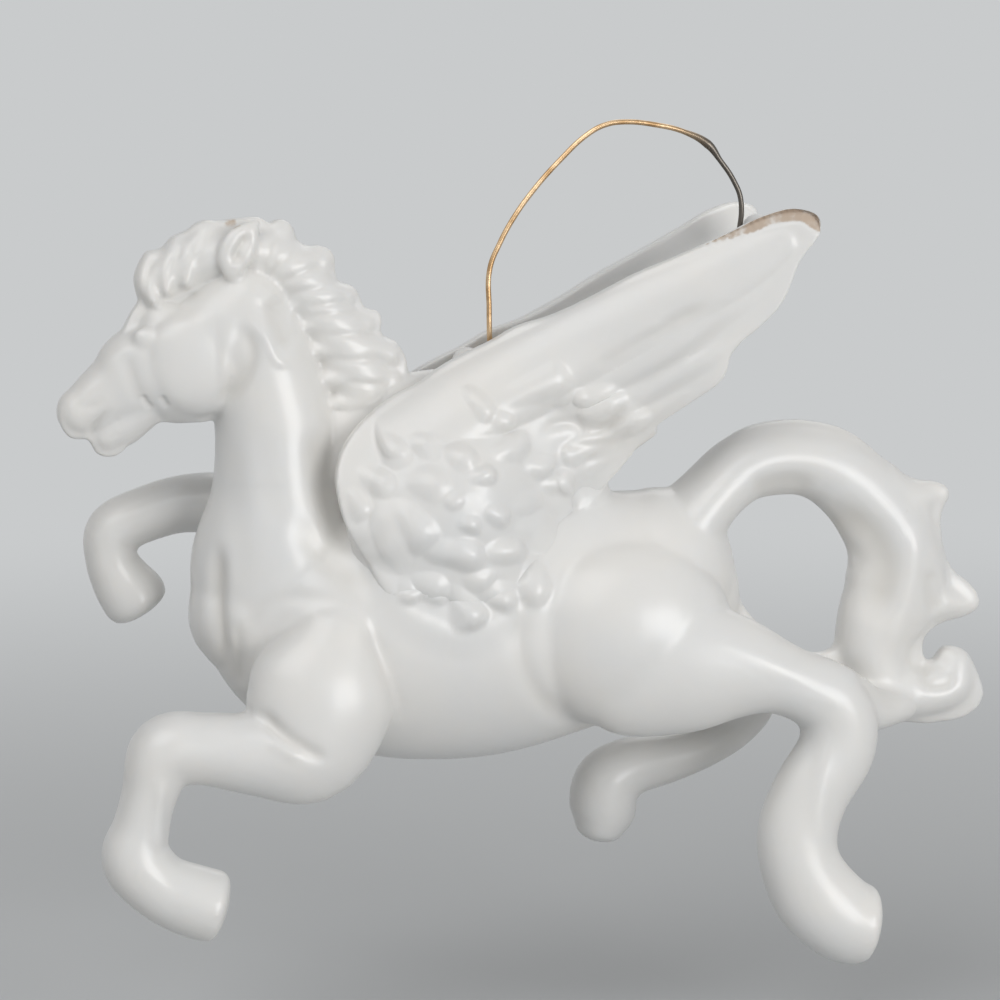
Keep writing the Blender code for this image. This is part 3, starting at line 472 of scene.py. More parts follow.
class Skin:
    """The fused skin of one piece, which takes carving.

    Args:
        item: the object that the skin belongs to.
    """

    def __init__(self, item: bpy.types.Object) -> None:
        """Keep the object and read its points."""
        self.item = item
        self.points = read_points(item)
        self.pooled_glaze_and_shade = np.zeros(len(self.points))
        self.worn = np.zeros(len(self.points))

    def normals(self) -> np.ndarray:
        """Return the outward direction at every point."""
        normals = np.empty(len(self.points) * 3, dtype=np.float32)
        self.item.data.vertex_normals.foreach_get("vector", normals)
        return normals.reshape(-1, 3).astype(float)

    def write(self) -> None:
        """Write the points back to the object's mesh."""
        self.item.data.vertices.foreach_set("co", (self.points * MM).astype(np.float32).ravel())
        self.item.data.update()

    def carve(self, strokes: Sequence[Stroke]) -> None:
        """Carve strokes into the skin and remember how deep each groove is, where shade is painted
        and the glaze lies a little thicker.

        Args:
            strokes: the strokes.
        """
        normals = self.normals()
        sink = np.zeros(len(self.points))
        for stroke in strokes:
            sink += stroke.sink(self.points, normals)
        # groove depth, later coloured darker as painted shade with a little pooled glaze
        self.pooled_glaze_and_shade += np.maximum(sink, 0.0)
        self.points -= normals * sink[:, None]
        self.write()

    def raise_coverts(self, coverts: Sequence[Covert], flank: Flank) -> None:
        """Raise covert feathers on one flank, a little uneven and merged as if pressed by hand.

        Args:
            coverts: the feathers.
            flank: the flank that carries them.
        """
        x, z = self.points[:, 0], self.points[:, 2]
        pressed_x, pressed_z = (
            way + UNEVENNESS * np.sin(along * x + up * z)
            for way, (along, up) in zip((x, z), UNEVEN_WAVES)
        )
        rise = np.zeros(len(self.points))
        for covert in coverts:
            rise += covert.lift(pressed_x, pressed_z) ** MERGING
        rise = rise ** (1.0 / MERGING) * flank.facing(self.points, self.normals())
        self.points += self.normals() * rise[:, None]
        self.write()

    def sag(self, edge: Line, width: float, drop: float) -> None:
        """Let the near face sag back towards an edge in a soft round, so that it runs out there.

        Args:
            edge: points of the edge as x and z.
            width: distance from the edge at which the sag starts, in millimetres.
            drop: how far the face falls back at the edge, in millimetres.
        """
        line = blended(np.array(edge), STEPS_BETWEEN_STATIONS)
        gaps = np.linalg.norm(self.points[:, None, (0, 2)] - line[None], axis=2)
        ends = smooth_step(np.sin(np.pi * gaps.argmin(axis=1) / (len(line) - 1)), 0.0, SAG_FADE)
        share = (1.0 - smooth_step(gaps.min(axis=1), 0.0, width)) * ends
        self.points[:, 1] += drop * share * Flank.NEAR.facing(self.points, self.normals())
        self.write()

    def bevel(self, edge: Line, width: float, slope: float) -> None:
        """Slope the near face back towards an edge and mark the slope as bare clay.

        Args:
            edge: points of the edge as x and z; the slope is widest at its last one.
            width: width of the slope there, in millimetres.
            slope: how far the face falls back for each millimetre of width.
        """
        line = blended(np.array(edge), STEPS_BETWEEN_STATIONS)
        shares = np.linspace(0.0, 1.0, len(line))
        gaps = np.linalg.norm(self.points[:, None, (0, 2)] - line[None], axis=2)
        closest = gaps.argmin(axis=1)
        depth = width * smooth_step(shares[closest], 0.0, SLOPE_GROWTH) - gaps.min(axis=1)
        depth *= Flank.NEAR.facing(self.points, self.normals())
        self.points[:, 1] += slope * np.maximum(depth, 0.0)
        self.worn = np.maximum(self.worn, BARE_SHARE * smooth_step(depth, 0.0, BARE_EDGE))
        self.write()

    def flatten(self, limit: np.ndarray, give: float) -> None:
        """Press the skin flatter from both sides where it stands off too far.

        Args:
            limit: stand-off from the middle plane beyond which each point is pressed.
            give: share of the part beyond the limit that is left.
        """
        beyond = np.abs(self.points[:, 1]) - limit
        pressed = np.logaddexp(0.0, PRESS_FIRMNESS * beyond) / PRESS_FIRMNESS
        self.points[:, 1] -= np.sign(self.points[:, 1]) * pressed * (1.0 - give)
        self.write()

    def soften(self, rounds: int) -> None:
        """Smooth the whole skin, as a damp sponge does.

        Args:
            rounds: how often it is smoothed.
        """
        sponge = self.item.modifiers.new("sponge", "SMOOTH")
        sponge.factor = SMOOTHING
        sponge.iterations = rounds
        settle(self.item)
        self.points = read_points(self.item)

    def settle_onto(self, other: BVHTree, share: np.ndarray) -> None:
        """Move points onto another skin, each by its share of the way.

        Args:
            other: search tree of the other skin.
            share: share of the way for each point; a point with none stays.
        """
        for index in np.flatnonzero(share > 0.0):
            found = other.find_nearest(Vector(self.points[index] * MM))[0]
            self.points[index] += share[index] * (np.array(found) / MM - self.points[index])
        self.write()

    def wear(self, strokes: Sequence[Stroke]) -> None:
        """Mark where the glaze has worn or broken away.

        Args:
            strokes: lines of wear; a stroke's depth is the share that is worn.
        """
        normals = self.normals()
        for stroke in strokes:
            self.worn = np.maximum(self.worn, stroke.sink(self.points, normals))

    def tree(self) -> BVHTree:
        """Return a search tree of the skin's faces."""
        data = self.item.data
        return BVHTree.FromPolygons(
            [vert.co for vert in data.vertices], [tuple(face.vertices) for face in data.polygons]
        )

    def fillet(self, other: BVHTree, reach: np.ndarray) -> np.ndarray:
        """Return how far each point swells to meet another skin in a soft fillet.

        Args:
            other: search tree of the other skin.
            reach: distance from the other skin at which the fillet of each point starts.

        Returns:
            One swelling in millimetres for each point.
        """
        swell = np.zeros(len(self.points))
        for index in np.flatnonzero(reach > 0.0):
            limit = reach[index]
            found = other.find_nearest(Vector(self.points[index] * MM), limit * MM)
            if found[0] is not None:
                swell[index] = (limit - found[3] / MM) ** 2 / (4.0 * limit)
        return swell

    def finish(self, finish: "GlazedPorcelain") -> bpy.types.Object:
        """Store the painted groove shade and the wear marks on the mesh and dress the piece.

        Args:
            finish: the glaze.

        Returns:
            The finished piece.
        """
        data = self.item.data
        for name, values in (("pooled_glaze_and_shade", self.pooled_glaze_and_shade), ("worn", self.worn)):
            layer = data.attributes.new(name, "FLOAT", "POINT")
            layer.data.foreach_set("value", np.clip(values, 0.0, 1.0).astype(np.float32))
        data.shade_smooth()
        data.materials.clear()
        data.materials.append(finish.material())
        return self.item


def cap_at_plane(item: bpy.types.Object, height: float, rear: float, keep_above: bool) -> None:
    """Cut a piece at a level plane and close it with a flat cap.

    Args:
        item: the piece.
        height: height of the plane, in millimetres.
        rear: the piece is only cut ahead of this x, in millimetres.
        keep_above: whether the part above the plane is kept, or the part below it.
    """
    mesh = bmesh.new()
    mesh.from_mesh(item.data)
    ahead = [face for face in mesh.faces if face.calc_center_median().x < rear * MM]
    parts = set(ahead)
    for face in ahead:
        parts.update(face.edges)
        parts.update(face.verts)
    bmesh.ops.bisect_plane(
        mesh, geom=list(parts), dist=0.00001 * MM, plane_co=(0.0, 0.0, height * MM),
        plane_no=(0.0, 0.0, 1.0), clear_outer=not keep_above, clear_inner=keep_above,
    )
    open_edges = [edge for edge in mesh.edges if edge.is_boundary]
    caps = bmesh.ops.holes_fill(mesh, edges=open_edges, sides=0)["faces"]
    for cap in caps:
        for edge in cap.edges:
            edge.smooth = False
    bmesh.ops.triangulate(mesh, faces=caps)
    mesh.to_mesh(item.data)
    mesh.free()


def bore(item: bpy.types.Object, start: Vector, end: Vector, radius: float) -> None:
    """Drill a round hole into a piece.

    Args:
        item: the piece.
        start: middle of the hole's open end.
        end: middle of its blind end.
        radius: radius of the hole.
    """
    drill = Clay()
    drill.rod(start, end, radius)
    cutter = drill.to_object("drill")
    hole = item.modifiers.new("hole", "BOOLEAN")
    hole.operation = "DIFFERENCE"
    hole.solver = "EXACT"
    hole.object = cutter
    settle(item)
    bpy.data.objects.remove(cutter, do_unlink=True)


BARREL = (
    Station(-44.5, -58.4, 8.2, 9.1), Station(-37.9, -59.0, 13.6, 12.1),
    Station(-28.2, -61.1, 15.3, 13.0), Station(-18.5, -62.2, 14.6, 12.7),
    Station(-9.3, -60.5, 14.0, 12.3), Station(-1.0, -58.1, 13.4, 11.7),
    Station(4.6, -56.4, 12.4, 10.4), Station(7.2, -55.6, 10.6, 7.2),
)
NECK = (
    Station(-36.8, -67.0, 9.3, 8.0), Station(-38.3, -62.7, 11.0, 9.7),
    Station(-39.8, -57.1, 12.0, 10.1), Station(-41.0, -50.4, 11.3, 9.6),
    Station(-41.5, -43.3, 8.2, 8.4), Station(-41.8, -36.8, 7.4, 7.6),
    Station(-43.0, -30.5, 6.8, 7.0), Station(-44.2, -25.1, 6.0, 6.6),
    Station(-45.3, -21.2, 4.6, 5.5),
)
HEAD = (
    Station(-45.3, -21.7, 5.5, 5.6), Station(-51.3, -27.7, 7.3, 6.2),
    Station(-57.5, -29.6, 6.0, 5.0), Station(-60.6, -31.6, 4.7, 4.1),
    Station(-62.9, -32.9, 3.9, 3.6), Station(-64.9, -34.0, 3.1, 3.1),
)
CHIN = (
    Station(-56.8, -32.8, 2.6, 3.4), Station(-60.4, -35.6, 2.8, 3.1),
    Station(-61.9, -37.0, 2.1, 2.8),
)
WITHERS = (
    Station(-38.0, -43.0, 9.0, 4.9), Station(-29.0, -40.5, 9.5, 5.4),
    Station(-20.5, -38.5, 9.0, 5.4), Station(-12.0, -41.5, 7.5, 5.1),
    Station(-4.5, -49.0, 5.0, 4.9),
)
CREST = (
    Station(-55.3, -18.3, 2.9, 3.2), Station(-51.9, -16.2, 3.2, 3.6),
    Station(-48.1, -15.3, 3.3, 3.8), Station(-44.1, -15.3, 3.3, 3.9),
    Station(-40.7, -16.9, 3.4, 4.0), Station(-37.9, -19.8, 3.5, 4.0),
    Station(-35.6, -23.2, 3.6, 4.1), Station(-33.7, -26.4, 3.9, 4.1),
    Station(-32.2, -30.0, 4.0, 4.0), Station(-31.4, -34.3, 3.6, 3.4),
)
MANE_LOCKS = (
    (Station(-56.4, -20.8, 1.1, 3.9), Station(-57.0, -18.6, 1.7, 3.1),
     Station(-56.4, -16.2, 1.4, 2.0)),
    (Station(-54.9, -19.6, 1.1, 4.1), Station(-54.6, -17.0, 1.7, 3.5),
     Station(-53.4, -14.6, 1.5, 2.3)),
    (Station(-52.6, -18.6, 1.2, 4.2), Station(-51.9, -15.4, 1.7, 3.7),
     Station(-49.9, -12.9, 1.6, 2.3)),
    (Station(-45.4, -19.8, 1.3, 3.3), Station(-43.4, -15.9, 2.1, 3.7),
     Station(-41.2, -13.4, 1.9, 2.4)),
    (Station(-43.0, -19.2, 1.2, 3.2), Station(-39.4, -16.9, 2.2, 3.9),
     Station(-36.6, -16.6, 1.9, 2.5)),
    (Station(-40.8, -21.8, 1.0, 3.2), Station(-36.2, -20.4, 1.8, 3.9),
     Station(-33.4, -20.6, 1.5, 2.4)),
    (Station(-39.6, -24.2, 1.0, 3.3), Station(-34.4, -23.4, 1.8, 3.9),
     Station(-31.2, -23.9, 1.6, 2.4)),
    (Station(-38.6, -27.0, 1.2, 3.3), Station(-32.6, -26.6, 2.1, 4.0),
     Station(-28.6, -27.6, 2.0, 2.5)),
    (Station(-37.4, -30.4, 1.3, 3.4), Station(-31.4, -30.2, 2.2, 4.0),
     Station(-28.3, -30.6, 1.8, 2.5)),
    (Station(-36.0, -33.2, 1.2, 3.4), Station(-31.2, -33.2, 1.8, 3.6),
     Station(-29.0, -33.4, 1.3, 2.4)),
)
EAR = (
    Station(-47.2, -17.6, 1.2, 0.9, 3.9), Station(-47.0, -15.8, 2.1, 1.0, 4.1),
    Station(-46.2, -14.0, 2.1, 1.0, 4.0), Station(-45.1, -12.6, 1.4, 0.8, 3.6),
    Station(-44.3, -11.7, 0.6, 0.6, 3.2),
)
TAIL = (
    Station(6.4, -51.0, 5.2, 7.8), Station(10.8, -45.6, 4.0, 6.6), Station(15.3, -41.9, 4.2, 5.5),
    Station(21.0, -40.9, 4.4, 5.0), Station(26.2, -42.4, 4.6, 5.0), Station(30.7, -46.6, 5.3, 5.0),
    Station(34.0, -51.8, 5.6, 4.8), Station(34.2, -57.2, 6.4, 4.6), Station(31.6, -63.3, 4.8, 4.4),
    Station(32.6, -69.3, 4.2, 4.2), Station(37.4, -70.0, 3.4, 3.8), Station(41.2, -69.2, 3.0, 3.4),
    Station(42.0, -66.8, 2.2, 2.6),
)
TAIL_TIPS = (
    (Station(30.4, -45.0, 4.4, 4.2), Station(33.6, -46.2, 4.2, 3.9), Station(37.0, -46.0, 2.4, 2.8),
     Station(39.4, -45.4, 1.0, 1.5)),
    (Station(34.6, -57.0, 5.4, 4.2), Station(37.2, -58.2, 4.0, 3.6), Station(40.4, -59.0, 2.4, 2.7),
     Station(43.7, -59.4, 1.0, 1.5)),
    (Station(35.6, -47.4, 3.0, 3.2), Station(36.8, -51.6, 3.0, 3.2),
     Station(37.4, -56.0, 3.0, 3.2)),
)
TAIL_OUTLINE = (
    (0.0, -47.0), (2.4, -44.6), (8.6, -44.3), (9.8, -42.2), (12.3, -39.2), (14.7, -37.4),
    (19.7, -36.2), (23.4, -36.3), (28.4, -37.8), (32.2, -40.7), (36.0, -43.6), (39.8, -44.2),
    (41.0, -45.2), (40.0, -47.6), (40.1, -51.3), (41.2, -54.5), (44.5, -57.7), (44.9, -59.5),
    (43.9, -60.5), (39.5, -61.9), (37.8, -63.8), (38.0, -65.6), (39.1, -66.3), (40.1, -64.8),
    (41.4, -64.5), (43.3, -65.4), (45.0, -68.3), (45.6, -70.8), (44.1, -72.9), (40.3, -74.0),
    (35.8, -73.9), (31.0, -72.6), (25.5, -68.5), (18.0, -66.5), (8.0, -64.0), (0.0, -60.0),
)
TAIL_OPENING = (
    (12.6, -49.6), (12.9, -47.8), (15.4, -46.3), (20.4, -45.4), (24.1, -46.1), (26.7, -48.6),
    (28.2, -52.4), (28.4, -55.5), (27.4, -59.2), (27.2, -63.5), (25.6, -64.9), (21.2, -64.0),
    (17.4, -61.4), (14.9, -58.3), (13.6, -54.6),
)
MANE_OUTLINE = (
    (-58.3, -17.6), (-57.5, -15.9), (-56.0, -14.9), (-54.6, -14.6), (-54.0, -13.4), (-52.5, -12.7),
    (-50.7, -11.5), (-48.6, -11.5), (-45.2, -11.1), (-43.6, -11.1), (-42.5, -11.8), (-41.5, -11.3),
    (-39.9, -12.0), (-39.4, -13.6), (-38.6, -14.5), (-36.6, -14.5), (-35.0, -15.3), (-34.7, -17.5),
    (-34.2, -19.1), (-32.4, -19.5), (-31.7, -20.8), (-31.1, -22.0), (-29.4, -22.5), (-29.1, -25.4),
    (-26.9, -26.8), (-26.1, -28.8), (-26.5, -31.0), (-28.0, -34.0), (-33.0, -36.0), (-38.0, -30.0),
    (-43.0, -24.0), (-50.0, -19.5), (-57.6, -21.2),
)
HEAD_OUTLINE = (
    (-58.3, -21.3), (-59.9, -24.0), (-62.0, -27.7), (-63.8, -29.5), (-65.5, -30.9), (-67.1, -32.5),
    (-67.7, -34.3), (-67.2, -36.1), (-66.0, -37.2), (-64.6, -37.2), (-64.0, -37.6), (-63.5, -38.7),
    (-62.0, -39.4), (-60.7, -39.1), (-59.2, -37.6), (-57.4, -35.8), (-55.7, -35.3), (-52.6, -35.4),
    (-49.6, -35.1), (-47.5, -33.0), (-45.0, -22.0), (-52.0, -17.5),
)
NEAR_FORELEG = (
    Station(-35.5, -60.6, 5.9, 5.0, -9.5), Station(-37.5, -66.3, 8.9, 6.0, -11.0),
    Station(-39.5, -72.6, 7.3, 5.8, -11.6), Station(-45.4, -73.5, 5.1, 5.2, -11.8),
    Station(-51.3, -72.8, 4.3, 4.7, -11.9), Station(-56.1, -73.0, 4.3, 4.5, -12.2),
    Station(-58.0, -78.0, 3.3, 3.9, -12.3), Station(-59.0, -81.9, 3.4, 3.8, -12.4),
    Station(-59.7, -85.5, 4.1, 4.2, -12.5), Station(-56.9, -88.9, 4.0, 4.3, -12.6),
    Station(-53.2, -90.7, 4.3, 4.7, -12.6), Station(-50.3, -91.6, 4.3, 4.9, -12.6),
)
FAR_FORELEG = (
    Station(-38.4, -53.4, 6.1, 5.0, 8.0), Station(-45.6, -47.3, 4.2, 4.8, 9.5),
    Station(-51.6, -46.4, 3.6, 4.4, 10.0), Station(-56.8, -47.6, 3.4, 4.2, 10.2),
    Station(-61.0, -49.7, 3.4, 4.1, 10.4), Station(-61.3, -53.1, 3.2, 3.8, 10.4),
    Station(-60.1, -55.8, 3.7, 4.0, 10.5), Station(-58.6, -57.9, 4.1, 4.4, 10.5),
    Station(-57.9, -59.0, 3.8, 4.4, 10.5),
)
NEAR_HIND_LEG = (
    Station(-6.4, -62.9, 6.8, 5.0, -8.4), Station(-0.7, -63.6, 9.4, 5.6, -9.0),
    Station(6.6, -64.5, 8.4, 5.8, -9.8), Station(13.0, -65.0, 6.2, 5.2, -10.4),
    Station(18.4, -66.5, 4.3, 4.7, -10.6), Station(24.0, -69.5, 4.7, 4.6, -10.6),
    Station(24.8, -74.6, 4.7, 4.2, -10.8), Station(21.6, -80.0, 4.7, 4.2, -11.0),
    Station(19.9, -84.6, 4.9, 4.3, -11.2), Station(20.2, -88.8, 4.9, 4.6, -11.3),
    Station(22.3, -92.9, 5.3, 4.7, -11.4), Station(25.7, -95.9, 5.2, 5.0, -11.4),
    Station(28.4, -96.6, 4.8, 5.2, -11.4),
)
HOCK_WEB = (
    Station(21.0, -67.6, 4.0, 4.2, -9.6), Station(26.2, -69.6, 4.0, 3.9, -8.4),
    Station(29.8, -70.9, 2.9, 3.5, -6.2), Station(33.6, -71.4, 2.0, 3.2, -2.8),
)
FAR_HIND_LEG = (
    Station(1.8, -64.6, 6.9, 5.0, 9.0), Station(9.0, -67.3, 6.9, 5.4, 10.0),
    Station(14.9, -70.5, 4.7, 4.8, 10.2), Station(18.7, -72.9, 2.8, 4.3, 10.4),
    Station(16.3, -76.3, 2.5, 3.8, 10.6), Station(12.1, -78.6, 2.7, 3.7, 10.8),
    Station(7.6, -79.9, 3.2, 4.0, 11.0), Station(3.4, -80.8, 3.7, 4.1, 11.2),
    Station(0.2, -82.8, 4.1, 4.5, 11.2), Station(-0.2, -86.4, 4.2, 4.4, 11.2),
    Station(-0.6, -88.4, 3.2, 3.7, 11.2),
)
WING_OUTLINE = (
    (-35.5, -40.3), (-35.4, -43.9), (-34.0, -48.1), (-32.3, -50.8), (-29.9, -54.1), (-28.1, -56.5),
    (-24.6, -58.6), (-20.4, -59.7), (-16.2, -57.6), (-12.6, -56.2), (-11.4, -53.3), (-8.4, -49.7),
    (-4.2, -45.0), (-2.0, -42.7), (-0.1, -40.4), (1.8, -37.6), (3.5, -35.8), (7.4, -32.9),
    (10.7, -30.1), (11.7, -27.0), (15.2, -23.7), (17.4, -21.2), (19.4, -16.4), (21.9, -11.4),
    (19.7, -10.1), (16.0, -10.7), (11.4, -12.9), (5.3, -15.8), (0.4, -18.0), (-4.0, -20.4),
    (-9.1, -22.8), (-13.5, -24.2), (-16.4, -25.8), (-19.7, -27.3), (-22.7, -28.9), (-25.3, -30.7),
    (-28.0, -32.0), (-31.4, -34.3), (-34.0, -37.0),
)
WING_FEATHERS = (
    (Station(-29.0, -37.0, 3.6, 2.0, -0.2), Station(-20.0, -33.2, 4.8, 2.5, -0.4),
     Station(-8.0, -27.8, 5.0, 2.6, -0.5), Station(3.0, -22.2, 4.6, 2.3, -0.5),
     Station(12.0, -17.3, 3.6, 1.8, -0.5), Station(18.0, -13.7, 2.2, 1.3, -0.3)),
    (Station(-6.0, -31.5, 2.6, 1.7, -0.5), Station(3.0, -26.9, 2.8, 1.7, -0.5),
     Station(10.0, -22.6, 2.2, 1.5, -0.3), Station(15.8, -18.6, 1.5, 1.2, -0.1)),
    (Station(-5.0, -35.4, 2.4, 1.5, -0.4), Station(3.0, -31.0, 2.4, 1.5, -0.3),
     Station(9.0, -27.6, 1.8, 1.3, -0.2), Station(12.0, -25.0, 1.2, 1.1, 0.0)),
    (Station(-7.0, -39.4, 2.2, 1.7, -0.3), Station(0.5, -35.4, 2.0, 1.5, -0.3),
     Station(6.6, -31.8, 1.4, 1.2, -0.1)),
    (Station(-8.0, -42.6, 2.0, 1.5, -0.2), Station(-2.0, -39.2, 1.7, 1.3, -0.2),
     Station(2.4, -36.6, 1.1, 1.1, 0.0)),
)
COVERTS = (
    Covert(-9.6, -30.6, 2.5, 0.75, 15.0, 2.8), Covert(-6.6, -32.6, 1.7, 0.60, -10.0, 2.0),
    Covert(-2.9, -33.6, 2.7, 0.90, -10.0, 2.0), Covert(0.2, -35.2, 2.3, 0.50, -20.0, 2.0),
    Covert(-18.2, -33.2, 1.7, 0.60, -40.0, 1.8), Covert(-15.6, -35.2, 1.4, 0.50, -40.0, 1.8),
    Covert(-20.4, -38.6, 1.8, 0.80, 5.0, 1.7), Covert(-14.2, -38.2, 1.9, 0.95, 5.0, 1.8),
    Covert(-18.2, -41.0, 1.5, 0.80, -5.0, 1.8), Covert(-10.5, -40.5, 1.7, 0.90, -20.0, 1.8),
    Covert(-7.9, -43.0, 1.8, 0.90, -5.0, 1.9), Covert(-28.6, -38.2, 2.0, 0.55, -30.0, 1.5),
    Covert(-25.0, -37.8, 1.9, 0.55, -30.0, 1.5), Covert(-30.2, -41.6, 1.9, 0.60, -25.0, 1.6),
    Covert(-24.4, -42.0, 2.2, 0.55, -15.0, 1.6), Covert(-16.3, -45.8, 1.4, 0.75, -20.0, 1.8),
    Covert(-19.8, -46.9, 1.3, 0.60, -10.0, 1.7), Covert(-21.8, -43.6, 1.3, 0.40, -30.0, 1.5),
    Covert(-12.6, -44.6, 1.7, 0.45, -20.0, 1.6), Covert(-33.0, -44.6, 1.7, 0.55, -60.0, 1.5),
    Covert(-29.6, -49.2, 3.3, 1.00, -75.0, 1.9), Covert(-26.6, -47.4, 2.8, 0.90, -35.0, 2.0),
    Covert(-31.6, -47.4, 2.2, 0.70, -110.0, 1.6), Covert(-23.2, -50.0, 1.8, 0.55, -30.0, 1.8),
    Covert(-20.5, -50.4, 2.1, 1.00, -5.0, 2.1), Covert(-15.0, -50.0, 2.0, 1.00, -5.0, 1.9),
    Covert(-11.2, -48.6, 2.7, 0.70, -30.0, 1.4), Covert(-24.4, -54.4, 2.1, 0.95, -25.0, 1.8),
    Covert(-27.4, -54.6, 1.6, 0.60, -80.0, 1.6), Covert(-20.2, -57.6, 2.2, 0.95, -60.0, 2.0),
    Covert(-16.0, -55.8, 2.0, 0.90, -35.0, 1.9), Covert(-18.4, -53.2, 1.6, 0.50, -10.0, 1.7),
    Covert(-12.2, -54.6, 2.2, 0.80, -75.0, 1.7), Covert(-8.0, -45.8, 1.7, 0.45, -20.0, 1.5),
)
WING_STROKES = (
    Stroke(((-4.8, -29.6), (-1.2, -26.6), (4.0, -23.8), (9.8, -20.8)), 1.0, 0.40),
    Stroke(((-3.8, -28.2), (1.0, -24.9), (4.4, -22.9)), 0.8, -0.20),
    Stroke(((-1.4, -32.6), (4.0, -28.8), (9.0, -24.8), (12.6, -21.6)), 0.9, 0.22),
    Stroke(((-0.2, -35.6), (3.4, -32.4), (7.0, -30.0), (9.6, -28.2)), 0.8, 0.16),
    Stroke(((-11.6, -36.4), (-7.6, -35.4), (-3.6, -36.4), (-1.2, -34.2), (-0.6, -32.0)), 0.8, 0.40),
    Stroke(((-9.8, -38.2), (-5.0, -38.2), (-1.2, -37.6), (1.0, -34.8)), 0.7, 0.26),
    Stroke(((-6.6, -40.4), (-2.6, -39.6), (0.4, -37.6)), 0.7, 0.20),
    Stroke(((-24.6, -54.6), (-22.0, -56.4), (-20.2, -58.6), (-17.8, -58.0)), 0.6, 0.30),
)
WING_FOOT = (
    (-29.9, -54.1), (-28.1, -56.5), (-24.6, -58.6), (-20.4, -59.7), (-16.2, -57.6), (-12.6, -56.2),
    (-11.4, -53.3), (-8.4, -49.7), (-4.2, -45.0), (-2.0, -42.7),
)
WING_TOP = (
    (1.0, -17.2), (6.0, -15.0), (11.4, -12.9), (16.0, -10.7), (19.7, -10.1), (21.9, -11.4),
)
NECK_STROKES = (
    Stroke(((-47.7, -35.6), (-47.2, -41.6), (-46.8, -48.7), (-46.2, -55.8)), 1.4, 0.12),
    Stroke(((-44.1, -34.5), (-43.5, -40.4), (-42.6, -47.6)), 1.4, 0.10),
    Stroke(((-37.6, -34.6), (-37.2, -39.2), (-36.6, -43.8), (-35.2, -47.9), (-33.6, -51.6)),
           1.8, 0.60),
    Stroke(((-39.6, -44.6), (-39.2, -47.1), (-37.6, -49.9), (-35.0, -52.6), (-31.0, -55.8)),
           2.0, 0.55, fade=0.3),
    Stroke(((-49.2, -48.5), (-49.4, -52.7), (-49.4, -56.8), (-49.0, -61.4), (-48.1, -65.6)),
           0.9, 0.75),
    Stroke(((-47.4, -57.5), (-47.3, -61.1), (-46.9, -64.8), (-46.4, -67.5)), 0.8, 0.30),
)
BODY_STROKES = (
    Stroke(((-46.3, -67.0), (-46.9, -63.2), (-46.6, -60.3), (-45.1, -57.5), (-42.6, -55.6),
            (-39.4, -55.2), (-36.3, -55.6), (-33.4, -57.2)), 1.0, 0.20, Flank.NEAR, 0.3),
    Stroke(((-33.0, -57.6), (-31.4, -60.8), (-30.0, -64.5), (-28.7, -68.2), (-28.8, -71.0)),
           1.2, 0.25, Flank.NEAR),
    Stroke(((-45.6, -67.2), (-43.3, -70.0), (-40.0, -72.2), (-36.9, -73.8)), 0.8, 0.50, Flank.NEAR),
    Stroke(((-44.6, -70.8), (-42.4, -72.2), (-40.4, -73.4)), 0.7, -0.22, Flank.NEAR),
    Stroke(((-56.7, -75.0), (-56.9, -77.9), (-57.2, -81.5), (-57.0, -84.8)),
           0.7, -0.35, Flank.NEAR),
    Stroke(((-6.6, -72.4), (-11.2, -68.2), (-13.9, -62.6), (-13.6, -57.0), (-11.2, -52.6)),
           1.2, 0.35),
    Stroke(((14.6, -44.6), (17.6, -43.6), (20.6, -43.4), (23.4, -44.6)), 1.5, 0.45),
    Stroke(((24.8, -45.2), (27.6, -48.2), (30.4, -50.4), (31.8, -53.6), (31.4, -57.6),
            (29.8, -61.4)), 2.2, 0.75),
    Stroke(((36.2, -47.4), (35.6, -52.0), (34.4, -57.4), (33.4, -62.4), (34.6, -66.4)), 1.5, -0.35),
    Stroke(((39.6, -60.2), (38.0, -57.6), (37.8, -54.0)), 1.2, 0.35),
    Stroke(((38.9, -65.4), (37.6, -67.0), (38.0, -68.6), (40.2, -68.6), (41.0, -67.0)), 0.9, 0.45),
    Stroke(((26.6, -65.0), (28.8, -67.2), (31.4, -69.4), (34.4, -71.0)), 1.5, 0.30),
    Stroke(((6.4, -58.6), (12.0, -61.8), (17.8, -64.6), (22.6, -65.6)), 1.4, -0.20, Flank.NEAR),
    Stroke(((23.2, -71.6), (22.0, -77.0), (21.6, -82.6), (22.8, -87.6)), 1.1, -0.25, Flank.NEAR),
)
MANE_STROKES = tuple(Stroke(path, 0.5, 0.20, fade=0.35) for path in (
    ((-57.3, -20.6), (-57.4, -18.8), (-56.9, -16.8), (-56.0, -15.2)),
    ((-55.0, -19.8), (-54.6, -17.6), (-53.6, -15.4), (-52.8, -13.6)),
    ((-53.2, -19.0), (-52.4, -16.6), (-51.2, -14.0), (-50.2, -12.2)),
    ((-52.2, -18.0), (-50.8, -15.4), (-49.6, -13.2), (-48.6, -12.0)),
    ((-44.1, -18.8), (-43.0, -15.8), (-42.0, -13.8), (-40.8, -12.6)),
    ((-43.6, -19.3), (-41.9, -16.9), (-40.2, -15.4), (-38.8, -14.6)),
    ((-42.6, -19.2), (-39.4, -17.7), (-36.9, -16.9), (-35.2, -16.6)),
    ((-41.8, -20.4), (-39.6, -19.9), (-37.0, -19.4), (-34.6, -19.0)),
    ((-39.2, -21.6), (-36.8, -21.4), (-34.2, -21.2), (-31.9, -21.3)),
    ((-38.9, -22.9), (-36.2, -22.5), (-33.4, -22.3), (-30.8, -22.8)),
    ((-37.2, -24.9), (-34.6, -24.9), (-32.0, -24.9), (-29.2, -25.2)),
    ((-36.4, -27.8), (-33.6, -27.9), (-30.6, -28.0), (-27.6, -28.2)),
    ((-35.0, -30.4), (-32.6, -30.6), (-30.0, -30.8), (-27.8, -30.4)),
))
